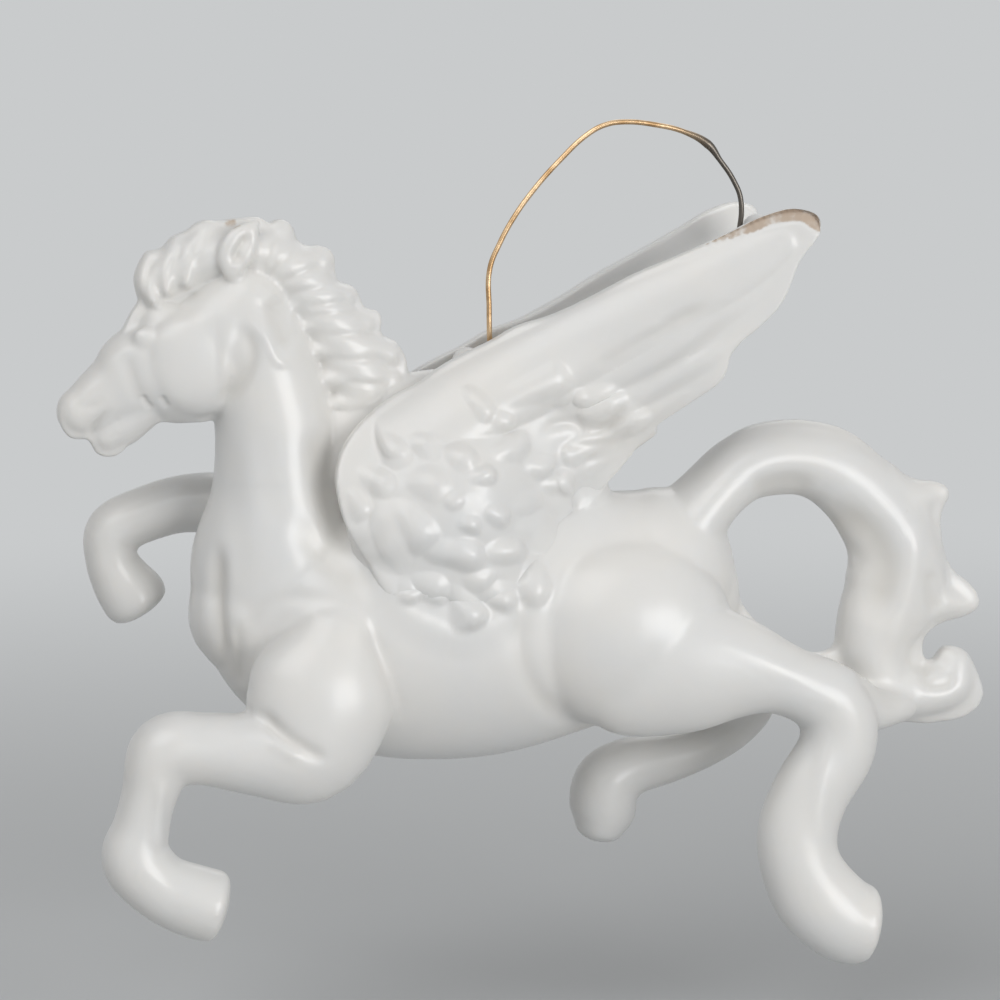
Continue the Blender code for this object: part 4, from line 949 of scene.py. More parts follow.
FACE_STROKES = (
    Stroke(((-46.9, -16.9), (-46.7, -15.2), (-45.7, -13.6), (-44.7, -12.5)), 0.75, 0.65, fade=0.3),
    Stroke(((-46.9, -22.9), (-45.6, -25.0), (-45.2, -27.2), (-46.2, -29.7), (-48.0, -31.9),
            (-49.3, -33.6)), 1.0, 0.50),
    Stroke(((-42.3, -20.0), (-42.1, -22.5), (-41.2, -24.6), (-40.0, -26.6)), 1.3, 0.50),
    Stroke(((-44.9, -22.9), (-43.3, -25.4), (-42.2, -27.6), (-40.1, -28.5)), 0.6, -0.22),
    Stroke(((-59.9, -26.4), (-59.4, -28.8), (-58.6, -31.2), (-57.4, -33.4)), 0.9, 0.22),
    Stroke(((-59.0, -24.6), (-58.2, -23.2), (-56.2, -22.2), (-53.0, -21.6), (-49.6, -21.4)),
           1.0, 0.14),
    Stroke(((-57.9, -31.7), (-57.5, -32.6), (-56.8, -33.5)), 0.35, 0.30),
    Stroke(((-55.8, -31.7), (-55.4, -32.5), (-54.9, -33.3)), 0.35, 0.25),
    Stroke(((-64.9, -37.8), (-64.1, -36.6), (-63.3, -35.2), (-62.3, -34.1), (-61.2, -33.4)),
           0.45, 0.36, fade=0.5),
    Stroke(((-66.0, -32.8), (-64.8, -33.2), (-63.4, -32.9), (-62.0, -32.1)), 0.5, 0.14, fade=0.5),
)
CREST_WEAR = (
    Stroke(((-48.6, -11.7), (-47.2, -11.7), (-45.6, -11.4)), 0.6, 0.62, fade=0.4),
)
WIRE_ROUTE = (
    (-16.1, -22.4), (-16.0, -17.4), (-14.8, -14.4), (-13.2, -11.5), (-10.9, -8.3), (-7.5, -4.5),
    (-4.1, -1.4), (-2.1, -0.35), (0.0, 0.0), (4.4, -0.4), (7.6, -1.2), (10.5, -2.7),
    (12.0, -4.6), (13.6, -6.9), (14.6, -9.4),
)
SEAM_HEIGHT = -42.4
NECK_FRONT = -55.0
FRONT_SEAT = Vector((-16.0, 0.0, -27.6))
REAR_SEAT = Vector((14.3, 0.0, -14.2))
HINGE_LINE = (REAR_SEAT - FRONT_SEAT).normalized()
WIRE_RADIUS = 0.32
WIRE_END_LENGTH = 2.6
BORE_CLEARANCE = 0.35
SEAT_RADIUS = 1.875
DRILL_START = 1.5


def seat_middle(seat: Vector, outward: Vector) -> Vector:
    """Return the middle of the lug whose hole opens just beyond the wire's bend.

    Args:
        seat: the wire's bend.
        outward: direction of the hole.

    Returns:
        The middle of the lug.
    """
    return seat + outward * (WIRE_RADIUS + 2.0 * BORE_CLEARANCE + SEAT_RADIUS)


def drill_seat(item: bpy.types.Object, seat: Vector, outward: Vector) -> None:
    """Drill the blind hole that one end of the wire sits in.

    Args:
        item: the piece with the lug.
        seat: the wire's bend.
        outward: direction of the hole.
    """
    mouth = seat_middle(seat, outward) - outward * SEAT_RADIUS * DRILL_START
    blind = seat + outward * (WIRE_RADIUS + BORE_CLEARANCE + WIRE_END_LENGTH)
    bore(item, mouth, blind, WIRE_RADIUS + BORE_CLEARANCE)


def paint(code: str) -> tuple[float, float, float, float]:
    """Return a screen colour as the linear colour that a shader takes.

    Args:
        code: six hexadecimal digits after a hash sign.

    Returns:
        Red, green, blue and alpha.
    """
    channels = [int(code[place:place + 2], 16) / 255.0 for place in (1, 3, 5)]
    linear = [c / 12.92 if c <= 0.04045 else ((c + 0.055) / 1.055) ** 2.4 for c in channels]
    return (*linear, 1.0)


def pattern_scale(size: float) -> float:
    """Return the scale of a pattern whose marks are this many millimetres across."""
    return 1.0 / (size * MM)


def add_node(
    owner: bpy.types.Material | bpy.types.World,
    kind: str,
    settings: dict[str, object] | None = None,
    values: dict[str | int, object] | None = None,
    links: dict[str | int, bpy.types.NodeSocket] | None = None,
) -> bpy.types.Node:
    """Add a node to a material or the world, with its settings, its own values and its links.

    Args:
        owner: the material or the world.
        kind: the node's type name.
        settings: properties of the node.
        values: values of its inputs, by name or number.
        links: sockets that feed its inputs, by name or number.

    Returns:
        The node.
    """
    node = owner.node_tree.nodes.new(kind)
    for name, value in (settings or {}).items():
        setattr(node, name, value)
    for name, value in (values or {}).items():
        node.inputs[name].default_value = value
    for name, socket in (links or {}).items():
        owner.node_tree.links.new(socket, node.inputs[name])
    return node


def blank_material(name: str) -> tuple[bpy.types.Material, bpy.types.Node, bpy.types.NodeSocket]:
    """Return a new material with its shader and the object coordinates.

    Args:
        name: name of the material.

    Returns:
        The material, its shader node and the coordinates' socket.
    """
    material = bpy.data.materials.new(name)
    material.use_nodes = True
    shader = material.node_tree.nodes["Principled BSDF"]
    place = add_node(material, "ShaderNodeTexCoord").outputs["Object"]
    return material, shader, place


def seen_directly(owner: bpy.types.Material | bpy.types.World) -> bpy.types.NodeSocket:
    """Return a socket that is 1 for what the camera or a glossy reflection sees, and else 0."""
    rays = add_node(owner, "ShaderNodeLightPath")
    return add_node(owner, "ShaderNodeMath", {"operation": "MAXIMUM"}, None,
                    {0: rays.outputs["Is Camera Ray"], 1: rays.outputs["Is Glossy Ray"]}).outputs[0]


@dataclass(frozen=True)
class GlazedPorcelain:
    """White slip-cast porcelain under a clear glaze.

    Args:
        body: colour of the clay body through the glaze.
        cool: colour where the glaze lies a little thicker.
        pool_and_shade: darker colour in a groove: painted shade, where the glaze also lies a little
            thicker.
        bare: colour of the stained clay where the glaze has worn off.
        speck: colour of the iron specks.
        gloss: roughness of the glaze.
        clouds: size of the glaze's cloudy patches, in millimetres.
        fraying: size of the marks in a worn edge, in millimetres.
        speck_spacing: distance between the places where a speck may lie, in millimetres.
        satin: size of the patches of gloss, in millimetres.
        ripple: size of the glaze's ripples, in millimetres.
    """

    body: str = "#E6E4E0"
    cool: str = "#E0E0DF"
    pool_and_shade: str = "#D6D3CD"
    bare: str = "#BBA793"
    speck: str = "#5A4E46"
    gloss: float = 0.32
    clouds: float = 14.3
    fraying: float = 1.54
    speck_spacing: float = 10.53
    satin: float = 4.17
    ripple: float = 2.38

    def material(self) -> bpy.types.Material:
        """Return the glaze's material, made once."""
        known = bpy.data.materials.get("glazed_porcelain_skin")
        if known:
            return known
        # Glazed porcelain: cloudy white, painted shade with a little pooled glaze in grooves, worn
        # edges and a few iron specks
        material, shader, place = blank_material("glazed_porcelain_skin")
        clouds = add_node(material, "ShaderNodeTexNoise", None,
                          {"Scale": pattern_scale(self.clouds), "Detail": 3.0}, {"Vector": place})
        cloud_share = add_node(material, "ShaderNodeMapRange", None,
                               {"From Min": 0.30, "From Max": 0.72},
                               {"Value": clouds.outputs["Fac"]})
        colour = add_node(
            material, "ShaderNodeMix", {"data_type": "RGBA"},
            {6: paint(self.body), 7: paint(self.cool)}, {0: cloud_share.outputs["Result"]},
        ).outputs[2]
        # painted shade: grooves are coloured darker where shade falls, with a little thicker glaze
        # there
        pooled_glaze_and_shade = add_node(material, "ShaderNodeAttribute", {"attribute_name": "pooled_glaze_and_shade"})
        pool_and_shade_share = add_node(material, "ShaderNodeMapRange", None,
                              {"From Min": 0.05, "From Max": 0.9, "To Max": 0.85},
                              {"Value": pooled_glaze_and_shade.outputs["Fac"]})
        colour = add_node(material, "ShaderNodeMix", {"data_type": "RGBA"}, {7: paint(self.pool_and_shade)},
                          {0: pool_and_shade_share.outputs["Result"], 6: colour}).outputs[2]
        worn = add_node(material, "ShaderNodeAttribute", {"attribute_name": "worn"})
        fray = add_node(material, "ShaderNodeTexNoise", None,
                        {"Scale": pattern_scale(self.fraying), "Detail": 4.0}, {"Vector": place})
        frayed = add_node(material, "ShaderNodeMath", {"operation": "MULTIPLY_ADD"}, {1: 0.9},
                          {0: worn.outputs["Fac"], 2: fray.outputs["Fac"]})
        wear_share = add_node(material, "ShaderNodeMapRange", {"interpolation_type": "SMOOTHSTEP"},
                              {"From Min": 0.72, "From Max": 1.15, "To Max": 0.9},
                              {"Value": frayed.outputs[0]})
        colour = add_node(material, "ShaderNodeMix", {"data_type": "RGBA"}, {7: paint(self.bare)},
                          {0: wear_share.outputs["Result"], 6: colour}).outputs[2]
        cells = add_node(material, "ShaderNodeTexVoronoi", None,
                         {"Scale": pattern_scale(self.speck_spacing)}, {"Vector": place})
        thinned = add_node(material, "ShaderNodeSeparateColor", None, None,
                           {0: cells.outputs["Color"]})
        chosen = add_node(material, "ShaderNodeMath", {"operation": "GREATER_THAN"}, {1: 0.95},
                          {0: thinned.outputs[0]})
        dot = add_node(material, "ShaderNodeMapRange", None,
                       {"From Min": 0.012, "From Max": 0.024, "To Min": 0.8, "To Max": 0.0},
                       {"Value": cells.outputs["Distance"]})
        speck_share = add_node(material, "ShaderNodeMath", {"operation": "MULTIPLY"}, None,
                               {0: chosen.outputs[0], 1: dot.outputs["Result"]})
        colour = add_node(material, "ShaderNodeMix", {"data_type": "RGBA"}, {7: paint(self.speck)},
                          {0: speck_share.outputs[0], 6: colour}).outputs[2]
        material.node_tree.links.new(colour, shader.inputs["Base Color"])
        sheen = add_node(material, "ShaderNodeTexNoise", None,
                         {"Scale": pattern_scale(self.satin), "Detail": 2.0}, {"Vector": place})
        gloss = add_node(material, "ShaderNodeMapRange", None,
                         {"To Min": self.gloss - 0.04, "To Max": self.gloss + 0.07},
                         {"Value": sheen.outputs["Fac"]})
        rough = add_node(material, "ShaderNodeMath", {"operation": "MULTIPLY_ADD"}, {1: 0.35},
                         {0: wear_share.outputs["Result"], 2: gloss.outputs["Result"]})
        material.node_tree.links.new(rough.outputs[0], shader.inputs["Roughness"])
        ripple = add_node(material, "ShaderNodeTexNoise", None,
                          {"Scale": pattern_scale(self.ripple), "Detail": 1.0}, {"Vector": place})
        bump = add_node(material, "ShaderNodeBump", None, {"Strength": 0.35, "Distance": 0.00005},
                        {"Height": ripple.outputs["Fac"]})
        material.node_tree.links.new(bump.outputs["Normal"], shader.inputs["Normal"])
        shader.inputs["IOR"].default_value = 1.5
        shader.inputs["Coat Weight"].default_value = 0.12
        shader.inputs["Coat Roughness"].default_value = 0.12
        shader.inputs["Subsurface Weight"].default_value = 0.12
        shader.inputs["Subsurface Radius"].default_value = (1.0, 0.85, 0.7)
        shader.inputs["Subsurface Scale"].default_value = 0.0012
        return material


@dataclass(frozen=True)
class DrawnBrass:
    """Thin drawn brass wire that turns grey towards its rear end.

    Args:
        bright: colour of the rubbed brass.
        dull: colour of the brown tarnish.
        grey: colour of the greyed rear end.
        roughness: roughness of the drawn surface.
        patches: size of the tarnished patches, in millimetres.
        drawing: spacing of the fine marks, in millimetres, as coarse as they need to show.
        grey_from: where along the figure the wire starts to grey, in millimetres.
        grey_at: where it is fully grey.
    """

    bright: str = "#E6C7A0"
    dull: str = "#BE9A70"
    grey: str = "#6A655F"
    roughness: float = 0.34
    patches: float = 2.38
    drawing: float = 0.3125
    grey_from: float = 4.5
    grey_at: float = 11.5

    def material(self) -> bpy.types.Material:
        """Return the wire's material."""
        # Drawn brass: patchy brown tarnish, a grey rear end and fine lines along the wire
        material, shader, place = blank_material("brass_wire_skin")
        patches = add_node(material, "ShaderNodeTexNoise", None,
                           {"Scale": pattern_scale(self.patches), "Detail": 4.0},
                           {"Vector": place})
        patch_share = add_node(material, "ShaderNodeMapRange", None,
                               {"From Min": 0.40, "From Max": 0.62},
                               {"Value": patches.outputs["Fac"]})
        colour = add_node(material, "ShaderNodeMix", {"data_type": "RGBA"},
                          {6: paint(self.bright), 7: paint(self.dull)},
                          {0: patch_share.outputs["Result"]}).outputs[2]
        axes = add_node(material, "ShaderNodeSeparateXYZ", None, None, {0: place})
        rear = add_node(material, "ShaderNodeMapRange", {"interpolation_type": "SMOOTHSTEP"},
                        {"From Min": self.grey_from * MM, "From Max": self.grey_at * MM},
                        {"Value": axes.outputs["X"]})
        colour = add_node(material, "ShaderNodeMix", {"data_type": "RGBA"}, {7: paint(self.grey)},
                          {0: rear.outputs["Result"], 6: colour}).outputs[2]
        material.node_tree.links.new(colour, shader.inputs["Base Color"])
        rough = add_node(material, "ShaderNodeMapRange", None,
                         {"To Min": self.roughness - 0.08, "To Max": self.roughness + 0.14},
                         {"Value": patches.outputs["Fac"]})
        material.node_tree.links.new(rough.outputs["Result"], shader.inputs["Roughness"])
        lines = add_node(material, "ShaderNodeTexNoise", None,
                         {"Scale": pattern_scale(self.drawing), "Detail": 2.0}, {"Vector": place})
        bump = add_node(material, "ShaderNodeBump", None, {"Strength": 0.4, "Distance": 0.00002},
                        {"Height": lines.outputs["Fac"]})
        material.node_tree.links.new(bump.outputs["Normal"], shader.inputs["Normal"])
        shader.inputs["Metallic"].default_value = 1.0
        return material


@dataclass(frozen=True)
class StudioSweep:
    """Matt pale studio paper that runs out into the backdrop.

    Args:
        colour: colour of the paper and of the backdrop.
        near: distance at which the paper starts to turn into the backdrop, in metres.
        far: distance at which nothing but the backdrop is seen, in metres.
        mottling: size of the paper's faint mottling, in millimetres.
    """

    colour: str
    near: float = 0.06
    far: float = 0.50
    mottling: float = 111.0

    def material(self) -> bpy.types.Material:
        """Return the paper's material."""
        # Studio paper: matt, with the faintest mottling, turning into the plain backdrop colour far
        # behind the figurine
        material, shader, place = blank_material("studio_paper")
        mottle = add_node(material, "ShaderNodeTexNoise", None,
                          {"Scale": pattern_scale(self.mottling), "Detail": 2.0},
                          {"Vector": place})
        share = add_node(material, "ShaderNodeMapRange", None, {"To Min": 0.97, "To Max": 1.0},
                         {"Value": mottle.outputs["Fac"]})
        colour = add_node(material, "ShaderNodeMix",
                          {"data_type": "RGBA", "blend_type": "MULTIPLY"},
                          {0: 1.0, 6: paint(self.colour)}, {7: share.outputs["Result"]})
        material.node_tree.links.new(colour.outputs[2], shader.inputs["Base Color"])
        shader.inputs["Roughness"].default_value = 0.9
        shader.inputs["Specular IOR Level"].default_value = 0.2
        distance = add_node(material, "ShaderNodeVectorMath", {"operation": "LENGTH"}, None,
                            {0: place})
        fade = add_node(material, "ShaderNodeMapRange", {"interpolation_type": "SMOOTHSTEP"},
                        {"From Min": self.near, "From Max": self.far},
                        {"Value": distance.outputs["Value"]})
        seen = seen_directly(material)
        backdrop = add_node(material, "ShaderNodeEmission", None, {"Color": paint(self.colour)})
        hidden = add_node(material, "ShaderNodeMath", {"operation": "MULTIPLY"}, None,
                          {0: fade.outputs["Result"], 1: seen})
        blend = add_node(material, "ShaderNodeMixShader", None, None,
                         {0: hidden.outputs[0], 1: shader.outputs[0], 2: backdrop.outputs[0]})
        surface = material.node_tree.nodes["Material Output"].inputs["Surface"]
        material.node_tree.links.new(blend.outputs[0], surface)
        return material


@dataclass(frozen=True)
class GlazedBody:
    """Barrel, chest, legs and tail below the neck seam, as one glazed skin.

    Args:
        grain: size of the skin's faces.
        rounds: smoothing rounds of the creases between the forms.
        seam_rear: the cut ends ahead of this x.
        tail_web: thickness of the plate that gives the tail its outline.
        croup: swelling of the croup.
        haunch: swelling of each haunch.
    """

    grain: float = 0.38
    rounds: int = 22
    seam_rear: float = 8.0
    tail_web: float = 2.6
    croup: Egg = Egg((4.6, 0.0, -54.6), (9.4, 10.2, 10.4))
    haunch: Egg = Egg((-0.4, 7.2, -61.0), (13.0, 8.2, 11.6))

    def model(self) -> Skin:
        """Model and carve the whole skin, before it is cut at the neck.

        Returns:
            The carved skin.
        """
        clay = Clay()
        for form in (BARREL, NECK, WITHERS, TAIL, *TAIL_TIPS):
            clay.sweep(form)
        clay.plate(TAIL_OUTLINE, (TAIL_OPENING,), self.tail_web)
        clay.swell(self.croup)
        for side in (-1.0, 1.0):
            clay.swell(self.haunch.on_side(side))
        for leg in (NEAR_FORELEG, FAR_FORELEG, NEAR_HIND_LEG):
            clay.sweep(leg, HOOF_BLUNTNESS)
        clay.sweep(FAR_HIND_LEG, FOLDED_HOOF_BLUNTNESS)
        clay.sweep(HOCK_WEB)
        skin = clay.fuse("glazed_body", self.grain, self.rounds)
        skin.carve((*NECK_STROKES, *BODY_STROKES))
        return skin

    def dress(self, skin: Skin, finish: GlazedPorcelain) -> bpy.types.Object:
        """Glaze the skin and cut it at the neck.

        Args:
            skin: the carved skin.
            finish: the glaze.

        Returns:
            The finished piece.
        """
        piece = skin.finish(finish)
        cap_at_plane(piece, SEAM_HEIGHT, self.seam_rear, keep_above=False)
        return piece


@dataclass(frozen=True)
class GlazedHead:
    """Head, mane, neck and withers above the neck seam, as one glazed skin.

    Args:
        grain: size of the skin's faces.
        rounds: smoothing rounds of the creases between the forms.
        face_web: thickness of the plate that gives the face its outline.
        mane_web: thickness of the plate that gives the mane its outline.
        cheek: swelling of each cheek.
        eye: swelling of each eye.
        brow: swelling of the brow.
        muzzle: half width of the muzzle.
        widening: how much wider the face is at the cheeks.
        face: where the face starts and ends its widening, as x.
        throat: where the face turns into the neck, as x.
        neck_room: how much further the neck may stand off than the cheeks.
        give: share of the cheeks' bulge that is left.
    """

    grain: float = 0.25
    rounds: int = 22
    face_web: float = 3.6
    mane_web: float = 2.8
    cheek: Egg = Egg((-51.8, 2.2, -28.0), (6.6, 4.6, 6.6))
    eye: Egg = Egg((-57.0, 3.55, -25.4), (2.1, 1.1, 1.5), 30.0)
    brow: Egg = Egg((-55.0, 0.0, -24.0), (3.8, 3.9, 3.6))
    muzzle: float = 3.3
    widening: float = 2.3
    face: tuple[float, float] = (-64.0, -54.0)
    throat: tuple[float, float] = (-49.5, -44.0)
    neck_room: float = 6.0
    give: float = 0.4

    def model(self) -> Skin:
        """Model and carve the whole skin, before it is cut at the neck.

        Returns:
            The carved skin.
        """
        clay = Clay()
        for form in (NECK[1:], HEAD, CHIN, WITHERS, CREST, *MANE_LOCKS):
            clay.sweep(form)
        for side in (-1.0, 1.0):
            clay.sweep([replace(station, y=station.y * side) for station in EAR])
            clay.swell(self.cheek.on_side(side))
            clay.swell(self.eye.on_side(side))
        clay.swell(self.brow)
        clay.plate(HEAD_OUTLINE, (), self.face_web)
        clay.plate(MANE_OUTLINE, (), self.mane_web)
        middle = seat_middle(FRONT_SEAT, -HINGE_LINE)
        across = Vector((0.0, SEAT_RADIUS, 0.0))
        clay.rod(middle - across, middle + across, SEAT_RADIUS)
        skin = clay.fuse("glazed_head", self.grain, self.rounds)
        half_width = self.muzzle + self.widening * smooth_step(skin.points[:, 0], *self.face)
        neck = smooth_step(skin.points[:, 0], *self.throat)
        skin.flatten(half_width + self.neck_room * neck, self.give)
        skin.carve((*NECK_STROKES, *MANE_STROKES, *FACE_STROKES))
        skin.wear(CREST_WEAR)
        return skin

    def dress(self, skin: Skin, finish: GlazedPorcelain) -> bpy.types.Object:
        """Glaze the skin, cut it at the neck and drill the front seat of the wire.

        Args:
            skin: the carved skin.
            finish: the glaze.

        Returns:
            The finished piece.
        """
        piece = skin.finish(finish)
        cap_at_plane(piece, SEAM_HEIGHT, math.inf, keep_above=True)
        drill_seat(piece, FRONT_SEAT, -HINGE_LINE)
        return piece


@dataclass(frozen=True)
class FeatheredWing:
    """One raised wing with its short coverts and flight feathers.

    Args:
        name: name of the piece.
        far: whether this is the far wing.
        forward: how far it is set towards the head.
        tilt: how far it is turned about its tip, in degrees.
        grain: size of the skin's faces.
        rounds: smoothing rounds of the creases between the forms.
        thickness: thickness of the wing's plate.
        tip_thinning: share of the thickness that is left at the tip.
        thinned: where the plate starts to thin and where it is thinnest, as x.
        sponging: smoothing rounds of the coverts.
        foot_width: width of the lower edge that sags into the flank.
        foot_drop: how far it sags.
        rim: width of the sloping rim at the tip.
        rim_slope: how far the rim falls back for each millimetre of its width.
        tip: the point about which the wing is tilted.
        swellings: swellings under the coverts.
        stand_offs: places on the wing as x and z, with its distance from the middle plane.
    """

    name: str
    far: bool = False
    forward: float = 0.0
    tilt: float = 0.0
    grain: float = 0.22
    rounds: int = 8
    thickness: float = 2.4
    tip_thinning: float = 0.7
    thinned: tuple[float, float] = (-6.0, 19.0)
    sponging: int = 4
    foot_width: float = 5.5
    foot_drop: float = 1.1
    rim: float = 1.7
    rim_slope: float = 0.7
    tip: tuple[float, float, float] = (20.5, 0.0, -11.0)
    swellings: tuple[Egg, ...] = (
        Egg((-22.0, 1.5, -44.5), (12.6, 4.4, 13.2), 20.0),
        Egg((-20.0, 1.5, -50.0), (9.5, 4.0, 8.6)),
    )
    stand_offs: tuple[tuple[float, float, float], ...] = (
        (-20.4, -58.5, 10.6), (-16.2, -57.6, 10.4), (-11.5, -54.5, 9.3), (-8.4, -49.7, 6.5),
        (-30.5, -52.0, 10.7), (-18.0, -42.0, 10.6), (-34.5, -42.0, 9.6), (-3.5, -46.0, 3.4),
        (8.5, -31.0, 8.4), (-28.0, -31.0, 4.6), (-16.0, -25.0, 3.6), (0.0, -19.5, 5.6),
        (21.0, -11.5, 10.8),
    )

    def stand_off(self, x: np.ndarray, z: np.ndarray) -> np.ndarray:
        """Return how far the wing's gently warped sheet stands off the middle plane.

        Args:
            x: places along the figure.
            z: heights.

        Returns:
            One stand-off for each place.
        """
        known = np.array(self.stand_offs)
        count = len(known)
        places = known[:, :2]
        level = np.hstack((np.ones((count, 1)), places))
        system = np.zeros((count + 3, count + 3))
        system[:count, :count] = bending(places, places)
        system[:count, count:] = level
        system[count:, :count] = level.T
        pulls = np.linalg.solve(system, np.concatenate((known[:, 2], np.zeros(3))))
        asked = np.stack((x, z), axis=1)
        return bending(asked, places) @ pulls[:count] + pulls[count] + asked @ pulls[count + 1:]

    def model(self) -> Skin:
        """Model and carve the wing's skin, in place.

        Returns:
            The carved skin.
        """
        clay = Clay()
        clay.plate(WING_OUTLINE, (), self.thickness)
        for feather in WING_FEATHERS:
            clay.sweep(feather)
        for swelling in self.swellings:
            clay.swell(swelling)
        if not self.far:
            middle = seat_middle(REAR_SEAT, HINGE_LINE)
            reach = float(self.stand_off(np.array([middle.x]), np.array([middle.z]))[0])
            clay.rod(Vector((middle.x, 0.0, middle.z)),
                     Vector((middle.x, reach + SEAT_RADIUS, middle.z)), SEAT_RADIUS)
        skin = clay.fuse(self.name, self.grain, self.rounds)
        thinning = 1.0 - (1.0 - self.tip_thinning) * smooth_step(skin.points[:, 0], *self.thinned)
        lug = np.abs(skin.points[:, 1]) >= self.thickness * 2.0
        skin.points[~lug, 1] *= thinning[~lug]
        skin.points[:, 1] -= self.stand_off(skin.points[:, 0], skin.points[:, 2])
        skin.write()
        skin.sag(WING_FOOT, self.foot_width, self.foot_drop)
        skin.raise_coverts(COVERTS, Flank.NEAR)
        skin.soften(self.sponging)
        skin.carve([replace(stroke, flank=Flank.NEAR) for stroke in WING_STROKES])
        skin.bevel(WING_TOP, self.rim, self.rim_slope)
        if self.far:
            self.turn_over(skin)
        return skin

    def turn_over(self, skin: Skin) -> None:
        """Mirror the carved wing to the far side and set it to its own tilt.

        Args:
            skin: the carved skin.
        """
        mesh = bmesh.new()
        mesh.from_mesh(skin.item.data)
        tip = Vector(self.tip) * MM
        turn = Matrix.Rotation(math.radians(-self.tilt), 4, "Y")
        place = Matrix.Translation((-self.forward * MM, 0.0, 0.0)) @ Matrix.Translation(tip) @ turn
        place = place @ Matrix.Translation(-tip) @ Matrix.Diagonal((1.0, -1.0, 1.0, 1.0))
        bmesh.ops.transform(mesh, matrix=place, verts=mesh.verts[:])
        bmesh.ops.reverse_faces(mesh, faces=mesh.faces[:])
        mesh.to_mesh(skin.item.data)
        mesh.free()
        skin.points = read_points(skin.item)

    def dress(self, skin: Skin, finish: GlazedPorcelain) -> bpy.types.Object:
        """Glaze the wing and, on the near wing, drill the rear seat of the wire.

        Args:
            skin: the carved skin.
            finish: the glaze.

        Returns:
            The finished piece.
        """
        piece = skin.finish(finish)
        if not self.far:
            drill_seat(piece, REAR_SEAT, HINGE_LINE)
        return piece


@dataclass(frozen=True)
class HangerWire:
    """The brass wire that the figurine hangs from.

    Args:
        kink: number of the bend with the small burr.
        burr: how much thicker the wire is there.
        roundness: how finely the wire's round section is divided.
        steps: steps from bend to bend.
    """

    kink: int = 13
    burr: float = 1.7
    roundness: int = 5
    steps: int = 14

    def build(self, finish: DrawnBrass) -> bpy.types.Object:
        """Build the wire along its bends.

        Args:
            finish: the brass.

        Returns:
            The finished piece.
        """
        route = [FRONT_SEAT - HINGE_LINE * WIRE_END_LENGTH, FRONT_SEAT]
        route += [Vector((x, 0.0, z)) for x, z in WIRE_ROUTE]
        route += [REAR_SEAT, REAR_SEAT + HINGE_LINE * WIRE_END_LENGTH]
        curve = bpy.data.curves.new("brass_hanger", "CURVE")
        curve.dimensions = "3D"
        curve.bevel_depth = WIRE_RADIUS * MM
        curve.bevel_resolution = self.roundness
        curve.resolution_u = self.steps
        curve.use_fill_caps = True
        spline = curve.splines.new("BEZIER")
        spline.bezier_points.add(len(route) - 1)
        corners = (0, 1, len(route) - 2, len(route) - 1)
        for index, (point, place) in enumerate(zip(spline.bezier_points, route)):
            point.co = place * MM
            handle = "VECTOR" if index in corners else "AUTO"
            point.handle_left_type = handle
            point.handle_right_type = handle
            point.radius = self.burr if index == self.kink else 1.0
        piece = bpy.data.objects.new("brass_hanger", curve)
        bpy.context.scene.collection.objects.link(piece)
        curve.materials.append(finish.material())
        return piece


